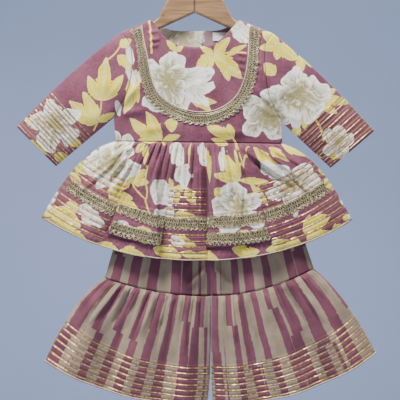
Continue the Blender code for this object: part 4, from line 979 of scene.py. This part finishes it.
SHARARA_CENTRE, BAND_CENTRE, BAND_HALF = 25.6, 14.0, 92.0
LEGS = {
    "left": {
        "side": -1,
        "hip_x": -131.7,
        "knee_side": (-144.0, -518.4),
        "knee_low": -547.0,
        "outer_tip": (-240.0, -651.2),
        "outer_bow": 40.0,
        "inner_hem": (19.0, -720.0),
        "folds": [
            (-120, -188, 4.0, 8, 18, 0.0), (-92, -138, -5.0, 7, 18, 0.0), (-66, -92, 4.6, 7, 18, 0.05),
            (-34, -48, -4.6, 7, 16, 0.0), (-6, -12, 4.4, 7, 14, 0.0),
        ],
        "creases": [
            (-122, -532, -168, -590, 2.6, 5, 3), (-104, -540, -130, -592, -2.4, 4, 4),
            (-92, -540, -112, -598, 2.0, 4, 3), (-64, -548, -86, -604, 1.6, 4, 3),
            (-44, -552, -54, -590, 1.4, 4, 3), (-14, -554, -16, -640, 2.0, 6, 2),
            (6, -556, 10, -600, -1.4, 3, 3), (-136, -528, -190, -596, 1.2, 5, 4),
            (-30, -556, -34, -600, 1.0, 3, 3), (-176, -600, -206, -668, 1.2, 10, 10),
            (-96, -620, -112, -700, 1.2, 12, 10),
        ],
    },
    "right": {
        "side": 1,
        "hip_x": 177.6,
        "knee_side": (189.8, -503.2),
        "knee_low": -546.4,
        "outer_tip": (289.6, -638.4),
        "outer_bow": 30.0,
        "inner_hem": (29.0, -719.4),
        "folds": [
            (50, 62, 4.2, 7, 14, 0.0), (78, 104, -4.8, 7, 17, 0.05), (106, 148, 4.6, 7, 18, 0.0),
            (136, 196, -4.6, 7, 18, 0.0), (164, 240, 4.0, 8, 18, 0.0),
        ],
        "creases": [
            (60, -552, 64, -620, 1.8, 3, 4), (84, -548, 100, -612, 1.8, 3, 5),
            (112, -542, 140, -600, 2.0, 3, 5), (140, -532, 176, -592, -1.8, 4, 4),
            (158, -524, 206, -588, 1.8, 3, 5), (176, -514, 226, -570, 1.2, 4, 5),
            (44, -554, 44, -600, 1.2, 3, 3), (220, -600, 244, -660, 1.2, 10, 10),
            (120, -620, 134, -700, 1.2, 11, 10),
        ],
    },
}
# The creases' heights are multiplied by these, as on the bodice.
UPPER_RELIEF, FLOUNCE_RELIEF = 2.2, 2.3
# Half the gap between the two legs, at the centre of the uppers and at the flounces' knee seams.
UPPER_GAP, FLOUNCE_GAP = 0.05, 0.7
# Shares of the way down a flounce: the last gold line, and the distance from one tuck to the next.
FLOUNCE_LAST, FLOUNCE_TUCK = 0.97, 0.052
FLOUNCE_SHARES = [FLOUNCE_LAST - FLOUNCE_TUCK * number for number in range(7)][::-1]
# Width of a mauve and a beige stripe together.
STRIPE_PAIR = 32.0
UPPER_CREASES = [
    (24, -430, -34, -486, 1.8, 4, 3), (22, -446, -18, -514, 1.6, 4, 3), (30, -432, 84, -486, 1.8, 3, 4),
    (30, -450, 70, -516, 1.5, 3, 4), (-60, -440, -96, -512, 1.2, 6, 5), (110, -440, 148, -506, 1.2, 5, 6),
    (16, -470, 2, -534, -1.2, 3, 3), (36, -474, 50, -532, -1.2, 3, 3), (-20, -360, -40, -440, 1.2, 6, 6),
    (66, -360, 88, -440, 1.2, 6, 6), (20, -496, -16, -540, 2.2, 3, 6), (30, -496, 62, -540, 2.2, 6, 3),
    (12, -500, 6, -545, 1.8, 3, 4), (38, -500, 42, -545, 1.8, 4, 3), (-70, -500, -84, -545, 1.0, 4, 5),
    (104, -500, 122, -540, 1.0, 5, 4),
]


def knee_points(shape, share):
    """The knee seam, x and z, from the centre to the outer side, which rises with the square of the share."""
    x = SHARARA_CENTRE + (shape["knee_side"][0] - SHARARA_CENTRE) * share
    z = shape["knee_low"] + (shape["knee_side"][1] - shape["knee_low"]) * share**2
    return x, z


def upper_points(shape, share, side, fall):
    """An upper leg: curves with one bend from the waistband to the knee seam. The bend would bring them to
    the hip's width four fifths of the way down, and is drawn back to the straight line by 0.3. The depth is
    6.4 to 7.5 mm, rounded off at the outer side by sqrt(1 - s^6) and thinned at the low end of the inseam."""
    s, f, hand = share[None, :], fall[:, None], shape["side"]
    top_x = BAND_CENTRE + hand * (BAND_HALF - 1) * s
    knee_x, knee_z = knee_points(shape, s)
    hip_x = SHARARA_CENTRE + (shape["hip_x"] - SHARARA_CENTRE) * s
    bend_x = (hip_x - top_x * 0.04 - knee_x * 0.64) / 0.32
    bend_x = bend_x * 0.7 + (top_x + knee_x) / 2 * 0.3
    x = top_x * (1 - f) ** 2 + bend_x * 2 * f * (1 - f) + knee_x * f**2
    z = -300.5 * (1 - f) ** 2 + (-300.5 + knee_z) * f * (1 - f) + knee_z * f**2
    rim = np.sqrt(np.maximum(1 - s**6, 0))
    inseam = 1 - (1 - smooth(s, 0, 0.3)) * smooth(f, 0.72, 1)
    depth = (6.4 + 1.1 * smooth(f, 0.05, 0.5)) * rim * inseam
    wave = 0.9 * np.sin(10 * np.pi * s + 1.3 * side[None] + hand)
    wave = wave + 0.5 * np.sin(34 * np.pi * s + 3 * np.sin(5 * s)) * (1 - smooth(f, 0.0, 0.3))
    wave = wave * smooth(f, 0, 0.1) * rim * smooth(s, 0, 0.12)
    folded = UPPER_RELIEF * creases(x, z, UPPER_CREASES)
    wave = wave + folded * rim * smooth(s, 0, 0.08) * (1 - smooth(f, 0.92, 1))
    depth = depth + wave + np.where(s == 0, LAID, LAID * (1 - smooth(s, 0, 0.3)))
    y = side[None] * np.where(s < 1, np.maximum(depth, LAID), 0)
    return np.dstack([x + hand * UPPER_GAP * (1 - s), y, z])


def flounce_points(shape, share, side, fall):
    """A flounce: lines from the knee seam to a hem whose height rises with s^2.2, bowed up at the outer side
    and kept close to the centre line at the inner one. Its depth grows from 7.5 to 14 mm, with gathers below
    the seam that open into three flares and a few deep folds."""
    s, f, hand = share[None, :], fall[:, None], shape["side"]
    knee_x, knee_z = knee_points(shape, s)
    knee_x = knee_x + hand * FLOUNCE_GAP * (1 - s)
    knee_z = knee_z - 0.5
    inner, tip = shape["inner_hem"], shape["outer_tip"]
    hem_x = inner[0] + (tip[0] - inner[0]) * s
    hem_z = inner[1] + (tip[1] - inner[1]) * s**2.2
    x = knee_x * (1 - f) + hem_x * f + (SHARARA_CENTRE - inner[0]) * (f - f**4) * (1 - s) ** 4
    z = knee_z * (1 - f) + hem_z * f + shape["outer_bow"] * s**3 * 2 * f * (1 - f)
    ends = np.maximum(1 - np.abs(2 * s - 1) ** 6, 0)
    depth = (7.5 + 6.5 * smooth(f, 0, 0.6)) * np.sqrt(ends)
    wide = 5.0 * pleats(26 * np.pi * s + 1.8 * np.sin(6 * s) + 0.9 * side[None] + hand) - 1.4
    fine = 2.4 * pleats(62 * np.pi * s + 3.0 * np.sin(9 * s) + side[None])
    fine = fine * (0.6 + 0.4 * np.sin(13 * s + hand))
    length = 0.2 + 0.24 * np.sin(11 * s + 2 * side[None]) ** 2
    wave = wide * smooth(f, 0, 0.06) * (1 - smooth(f, 0.14, length + 0.42))
    wave = wave + fine * smooth(f, 0, 0.02) * (1 - smooth(f, 0.05, length))
    wave = wave + 2.6 * np.sin(6 * np.pi * s + 2.1 * side[None]) * smooth(f, 0.15, 1)
    pucker = 0.6 + 0.4 * np.sin(66 * np.pi * s + 4 * np.sin(25 * f))
    tucks = np.abs(np.sin(np.pi * (f - FLOUNCE_LAST) / FLOUNCE_TUCK))
    wave = wave + tucks * pucker * smooth(f, 0.64, 0.67)
    wave = wave + fold_height(shape["folds"], x, f) * 0.8 + FLOUNCE_RELIEF * creases(x, z, shape["creases"])
    y = side[None] * np.where((s > 0) & (s < 1), depth + wave * ends, 0)
    return np.dstack([x, y, z])


def striped_cotton(name, fade):
    """Ikat-striped cotton: at the hem its mauve bands are about 18 mm wide and its beige ones 14 mm. Their
    edges feather and sway, and each band steps sideways at a level of its own. The weave is the print's, a
    little heavier, drawn at 1.1 mm. fade is how much of the colour is lost on the reverse."""
    made, tree, shader = new_finish(
        name, 0.85, Sheen_Weight=0.2, Sheen_Roughness=0.5, Specular_IOR_Level=0.22,
    )
    place = put(tree, "UVMap", uv_map="cloth")
    u, v, _ = put(tree, "SeparateXYZ", place).node.outputs
    pairs = put(tree, "Math", u, 1000 / STRIPE_PAIR, operation="MULTIPLY")
    cell = put(tree, "Math", pairs, operation="FLOOR")
    next_cell = put(tree, "Math", cell, 37.3, operation="ADD")
    own = put(tree, "TexWhiteNoise", noise_dimensions="1D", named={"W": cell})
    other = put(tree, "TexWhiteNoise", noise_dimensions="1D", named={"W": next_cell})
    level = put(tree, "Math", own, -0.1, -0.035, operation="MULTIPLY_ADD")
    below = put(tree, "Math", v, level, operation="LESS_THAN")
    step = put(tree, "Math", put(tree, "Math", other, 0.5, operation="SUBTRACT"), 0.7, operation="MULTIPLY")
    run = put(tree, "Math", below, step, pairs, operation="MULTIPLY_ADD")
    for scale, detail, reach in ((130.0, 2.0, 0.1), (9.0, 1.0, 0.45)):
        noise = put(tree, "TexNoise", place, named={"Scale": scale, "Detail": detail})
        noise = put(tree, "Math", noise, 0.5, operation="SUBTRACT")
        run = put(tree, "Math", noise, reach, run, operation="MULTIPLY_ADD")
    off = put(tree, "Math", put(tree, "Math", run, operation="FRACT"), 0.5, operation="SUBTRACT")
    off = put(tree, "Math", off, operation="ABSOLUTE")
    width = put(tree, "Math", other, 0.12, 0.215, operation="MULTIPLY_ADD")
    depth = put(tree, "Math", width, off, operation="SUBTRACT")
    inside = put(tree, "MapRange", depth, -0.008, 0.012, 0.0, 1.0)
    cloud = put(tree, "TexNoise", place, named={"Scale": 24.0, "Detail": 4.0})
    tone = put(tree, "MapRange", cloud, 0.35, 0.65, 0.0, 1.0)
    beige = put(tree, "MixRGB", tone, hex_colour("#84725E"), hex_colour("#9F8C74"))
    mauve = put(tree, "MixRGB", tone, hex_colour("#613441"), hex_colour("#784451"))
    colour = put(tree, "MixRGB", inside, beige, mauve)
    fine = put(tree, "TexNoise", place, named={"Scale": 260.0, "Detail": 2.0})
    # 94724C is the painted shade along the tucks.
    colour, normal = tuck_shade_and_ridges(tree, colour, weave_bump(tree, place, 1.1, 0.4), fine, "#94724C")
    colour = put(tree, "MixRGB", fade, colour, hex_colour("#B9A6A0"))
    tree.links.new(colour, shader.inputs["Base Color"])
    tree.links.new(normal, shader.inputs["Normal"])
    return made


STRIPES = striped_cotton("cotton_ikat_striped", 0.0)
STRIPES_REVERSE = striped_cotton("cotton_ikat_reverse", 0.3)

# Round a leg from its inner side over the front to the outer one, and back. The shares crowd at both sides
# of a flounce, and at the outer side of an upper.
half_round = (1 - np.cos(np.linspace(0, np.pi, 180))) / 2
flounce_shares = np.concatenate([half_round, half_round[::-1]])
flounce_sides = np.repeat([-1.0, 1.0], 180)
quarter = np.sin(np.linspace(0, np.pi / 2, 84))
upper_shares = np.concatenate([quarter, quarter[::-1][1:]])
upper_sides = np.concatenate([-np.ones(84), np.ones(83)])
upper_falls, flounce_falls = np.linspace(0, 1, 66), np.linspace(0, 1, 76)
halves = (slice(1, 179), slice(181, 359))


def stripe_plane(shape, shares, sides, falls, wide, first, tall):
    """The stripes' own plane in millimetres: round the leg, wide from its inner side to the outer one and as
    far again to the back's inner side, from a first place on, and tall from its upper seam to the lower."""
    turned = np.where(sides < 0, shares, 2 - shares) * shape["side"]
    return np.dstack(np.broadcast_arrays(turned[None] * wide + first, -falls[:, None] * tall))


def flounce_row(shape, half, share):
    """A line round one half of a flounce, a share of the way down it, and its normals."""
    shares, sides = flounce_shares[half], flounce_sides[half]
    return row_over(lambda falls: flounce_points(shape, shares, sides, falls), share, GOLD_LIFT)


uppers, flounces = {}, {}
for name, shape in LEGS.items():
    grid = upper_points(shape, upper_shares, upper_sides, upper_falls)
    # The plane is less than half as tall as the cloth, so that some bands step below the peplum's hem.
    plane = stripe_plane(shape, upper_shares, upper_sides, upper_falls, 170, 16, 110)
    uppers[name] = add_skin(f"leg_upper_{name}", grid, plane, (STRIPES, STRIPES_REVERSE), motifs=False)
    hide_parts(f"sharara_upper_{name}")
    grid = flounce_points(shape, flounce_shares, flounce_sides, flounce_falls)
    plane = stripe_plane(shape, flounce_shares, flounce_sides, flounce_falls, 262, 7, 180)
    down = flounce_falls[:, None] + 0 * flounce_shares[None]
    tucks = (down - FLOUNCE_LAST) / FLOUNCE_TUCK + 0.5, smooth(down, 0.63, 0.64)
    flounces[name] = add_skin(
        f"leg_flounce_{name}", grid, plane, (STRIPES, STRIPES_REVERSE), motifs=False, skip=[179], tucks=tucks,
    )
    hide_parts(f"sharara_flounce_{name}")
    runs = [(*flounce_row(shape, half, share), 0.7, 0.35) for share in FLOUNCE_SHARES for half in halves]
    add_strands(f"gold_lines_flounce_{name}", runs, GOLD)
    runs = [(*flounce_row(shape, half, 0.992), 0.8, 0.6) for half in halves]
    add_strands(f"hem_piping_flounce_{name}", runs, PIPING)

# The waistband: a tube 184 mm wide and 24 mm tall, ruffled by its elastic.
around = np.linspace(0, 2 * np.pi, 240)
down = np.linspace(0, 1, 24)
ruffle = 0.55 * np.sin(46 * around + 1.5 * np.sin(3 * around))[None] * np.sin(np.pi * down)[:, None] ** 0.4
share = np.cos(around)[None]
rim = np.maximum(1 - share**4, 0) ** 0.5
band_y = -np.sign(np.sin(around))[None] * (7.9 + ruffle) * rim
band_x = np.broadcast_to(BAND_CENTRE + BAND_HALF * share, band_y.shape)
band_z = np.broadcast_to(-276.0 - 24.0 * down[:, None], band_y.shape)
grid = np.dstack([band_x, band_y, band_z])
plane = np.dstack([np.broadcast_to(around * 90, band_y.shape), band_z])
waistband = add_skin("leg_waistband", grid, plane, (STRIPES,), 1.2, motifs=False)
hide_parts("sharara_waistband")


# Neck fastening and label
# A cloth-covered button sits beside the slit at the back, with a loop of twisted gold cord. A blank
# white tape is stitched inside the back neck.

BUTTON_X, BUTTON_Z, BUTTON_RADIUS = 22.0, -127.5, 5.0
BACK_FACE = LAID + NECK_DEPTH + 0.9

# A cushion: at tilt v its radius is 5 mm * sin(v)^0.7, and it stands 1.7 mm * cos(v) off its middle.
tilt = np.linspace(0.001, np.pi - 0.001, 22)[:, None]
turn = np.linspace(0, 2 * np.pi, 49)[None]
radius = BUTTON_RADIUS * np.sin(tilt) ** 0.7
dome_y = BACK_FACE + 2.6 + 1.7 * np.cos(tilt) + 0 * turn
button_grid = np.dstack([BUTTON_X + radius * np.cos(turn), dome_y, BUTTON_Z + radius * np.sin(turn)])
button_plane = np.dstack([BACK_PRINT - button_grid[..., 0] - 60, button_grid[..., 2] - 30])
button = add_skin("neck_button", button_grid, button_plane, (PRINT,), 0.3)
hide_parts("kurti_neck_button")

reach = BUTTON_RADIUS + 1.2
swept = np.radians(np.linspace(140, -140, 60))
loop_x = np.concatenate([np.linspace(-15, -9, 14), reach * np.cos(swept), np.linspace(-9, -15, 14)])
loop_z = np.concatenate([np.linspace(2.5, 3.6, 14), reach * np.sin(swept), np.linspace(-3.6, -2.5, 14)])
ease = np.convolve(np.pad(loop_x, 4, mode="edge"), np.ones(9) / 9, mode="valid")
ease_z = np.convolve(np.pad(loop_z, 4, mode="edge"), np.ones(9) / 9, mode="valid")
line = np.stack([BUTTON_X + ease, np.full(len(ease), BACK_FACE + 0.9), BUTTON_Z + ease_z], axis=1)
out = np.tile([0.0, 1.0, 0.0], (len(line), 1))
sideways = np.cross(np.gradient(line, axis=0), out)
sideways /= np.linalg.norm(sideways, axis=1, keepdims=True)
twist = np.linspace(0, 30, len(line))[:, None]
plies = [
    (line + 0.42 * (np.cos(twist + phase) * sideways + np.sin(twist + phase) * out), out, 0.5, 0.5)
    for phase in (0, math.pi)
]
loop = add_strands("neck_loop", plies, GOLD, 6)
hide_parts("kurti_neck_loop")

LABEL_X, LABEL_Z, LABEL_WIDE, LABEL_TALL = 42.0, -131.0, 27.0, 14.0
# Woven polyester tape, a little shiny; its threads, 0.2 mm apart, are drawn at 0.8 mm.
TAPE, tree, shader = new_finish("tape_woven_white", 0.7)
place = put(tree, "UVMap", uv_map="cloth")
speck = put(tree, "TexNoise", place, named={"Scale": 700.0})
white = put(tree, "MixRGB", speck, hex_colour("#E4E6EA"), hex_colour("#F4F5F7"))
tree.links.new(white, shader.inputs["Base Color"])
tree.links.new(weave_bump(tree, place, 0.8, 0.4), shader.inputs["Normal"])
across = np.linspace(-0.5, 0.5, 30)[None]
down = np.linspace(-0.5, 0.5, 16)[:, None]
curl = 0.9 * np.cos(2 * np.pi * across) * (down + 0.5) + 0.3 * np.sin(3 * down)
label_grid = np.dstack([
    LABEL_X + LABEL_WIDE * across + 0 * down,
    LAID + NECK_DEPTH - 1.4 - curl * 0.6,
    LABEL_Z - LABEL_TALL * down + 0 * across,
])
label_plane = np.dstack([LABEL_WIDE * across + 0 * down, LABEL_TALL * down + 0 * across])
label = add_skin("neck_label", label_grid, label_plane, (TAPE,), 0.4, motifs=False)
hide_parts("kurti_neck_label")


# Hanger
# Two arms of pale wood, sanded and butted together at the middle, and a steel wire hook screwed in over
# the joint. They are kept as the solids, with their grain running along the arms.

# Beech under a thin satin varnish. The grain's streaks are about 4 mm wide and 70 mm long, with one knot.
WOOD, tree, shader = new_finish("beech_varnished", 0.45, Coat_Weight=0.2, Coat_Roughness=0.3)
place = put(tree, "TexCoord", out=3)
stretched = put(tree, "Mapping", place, None, (0.0, 0.35, 0.0), (9.0, 150.0, 150.0))
grain = put(tree, "TexNoise", stretched, named={"Scale": 1.6, "Detail": 4.0, "Roughness": 0.6})
tone = put(tree, "MapRange", grain, 0.35, 0.65, 0.0, 1.0)
colour = put(tree, "MixRGB", tone, hex_colour("#6E5030"), hex_colour("#987650"))
knot = put(tree, "VectorMath", place, (-0.051, -0.005, -0.0985), operation="DISTANCE", out=1)
knot = put(tree, "MapRange", knot, 0.0012, 0.0042, 0.75, 0.0)
tree.links.new(put(tree, "MixRGB", knot, colour, hex_colour("#6B4526")), shader.inputs["Base Color"])
pores = put(tree, "Bump", named={"Strength": 0.15, "Distance": 0.0003, "Height": grain})
tree.links.new(pores, shader.inputs["Normal"])

# Drawn wire, bright zinc-plated.
STEEL = flecked("steel_wire_bright", 0.28, 1.0, "#A9ABAF", "#C9CBCF", 500.0)
for name, finish, slot in (
    ("hanger_arm_left", WOOD, "pale_wood"),
    ("hanger_arm_right", WOOD, "pale_wood"),
    ("hanger_hook", STEEL, "steel"),
):
    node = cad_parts[name]
    node.data.materials.clear()
    node.data.materials.append(finish)


# Stage, light and camera
# A pale blue-grey wall far behind and a floor below it, with one large soft light above the front, a
# weak fill, and a light behind for the back. The camera looks straight at the suit, as in the photograph.

# Matt wall paint, a little uneven as it is when rolled on.
STAGE_PAINT = flecked("wall_paint_pale", 0.9, 0.0, "#BCCAEA", "#C2D0EE", 3.0)
for name, corners in {
    "backdrop_wall": [(-6, 3.4, -1.4), (6, 3.4, -1.4), (6, 3.4, 4.0), (-6, 3.4, 4.0)],
    "backdrop_floor": [(-6, -4.5, -1.4), (6, -4.5, -1.4), (6, 3.4, -1.4), (-6, 3.4, -1.4)],
}.items():
    mesh = bpy.data.meshes.new(name)
    mesh.from_pydata(corners, [], [(0, 1, 2, 3)])
    mesh.materials.append(STAGE_PAINT)
    board = bpy.data.objects.new(name, mesh)
    bpy.context.scene.collection.objects.link(board)

world = bpy.data.worlds.new("soft_room")
world.use_nodes = True
world.node_tree.nodes["Background"].inputs[0].default_value = hex_colour("#C9CEDA")
world.node_tree.nodes["Background"].inputs[1].default_value = 0.27
bpy.context.scene.world = world

SUIT_MIDDLE = Vector((0.008, 0.0, -0.39))
for name, at, size, energy in (
    ("light_key", (-0.42, -0.7, 1.25), 0.5, 100.0),
    ("light_fill", (0.9, -1.9, 0.0), 1.6, 7.0),
    ("light_back", (0.75, 0.95, 1.2), 0.8, 70.0),
):
    lamp = bpy.data.lights.new(name, "AREA")
    lamp.size = size
    lamp.energy = energy
    holder = bpy.data.objects.new(name, lamp)
    holder.location = at
    holder.rotation_euler = (SUIT_MIDDLE - Vector(at)).to_track_quat("-Z", "Y").to_euler()
    bpy.context.scene.collection.objects.link(holder)

lens = bpy.data.cameras.new("camera")
lens.lens = 100
lens.sensor_width = 36
camera = bpy.data.objects.new("camera", lens)
camera.location = (0.008, -1.778, -0.3936)
camera.rotation_euler = (math.pi / 2, 0, 0)
bpy.context.scene.collection.objects.link(camera)
bpy.context.scene.camera = camera
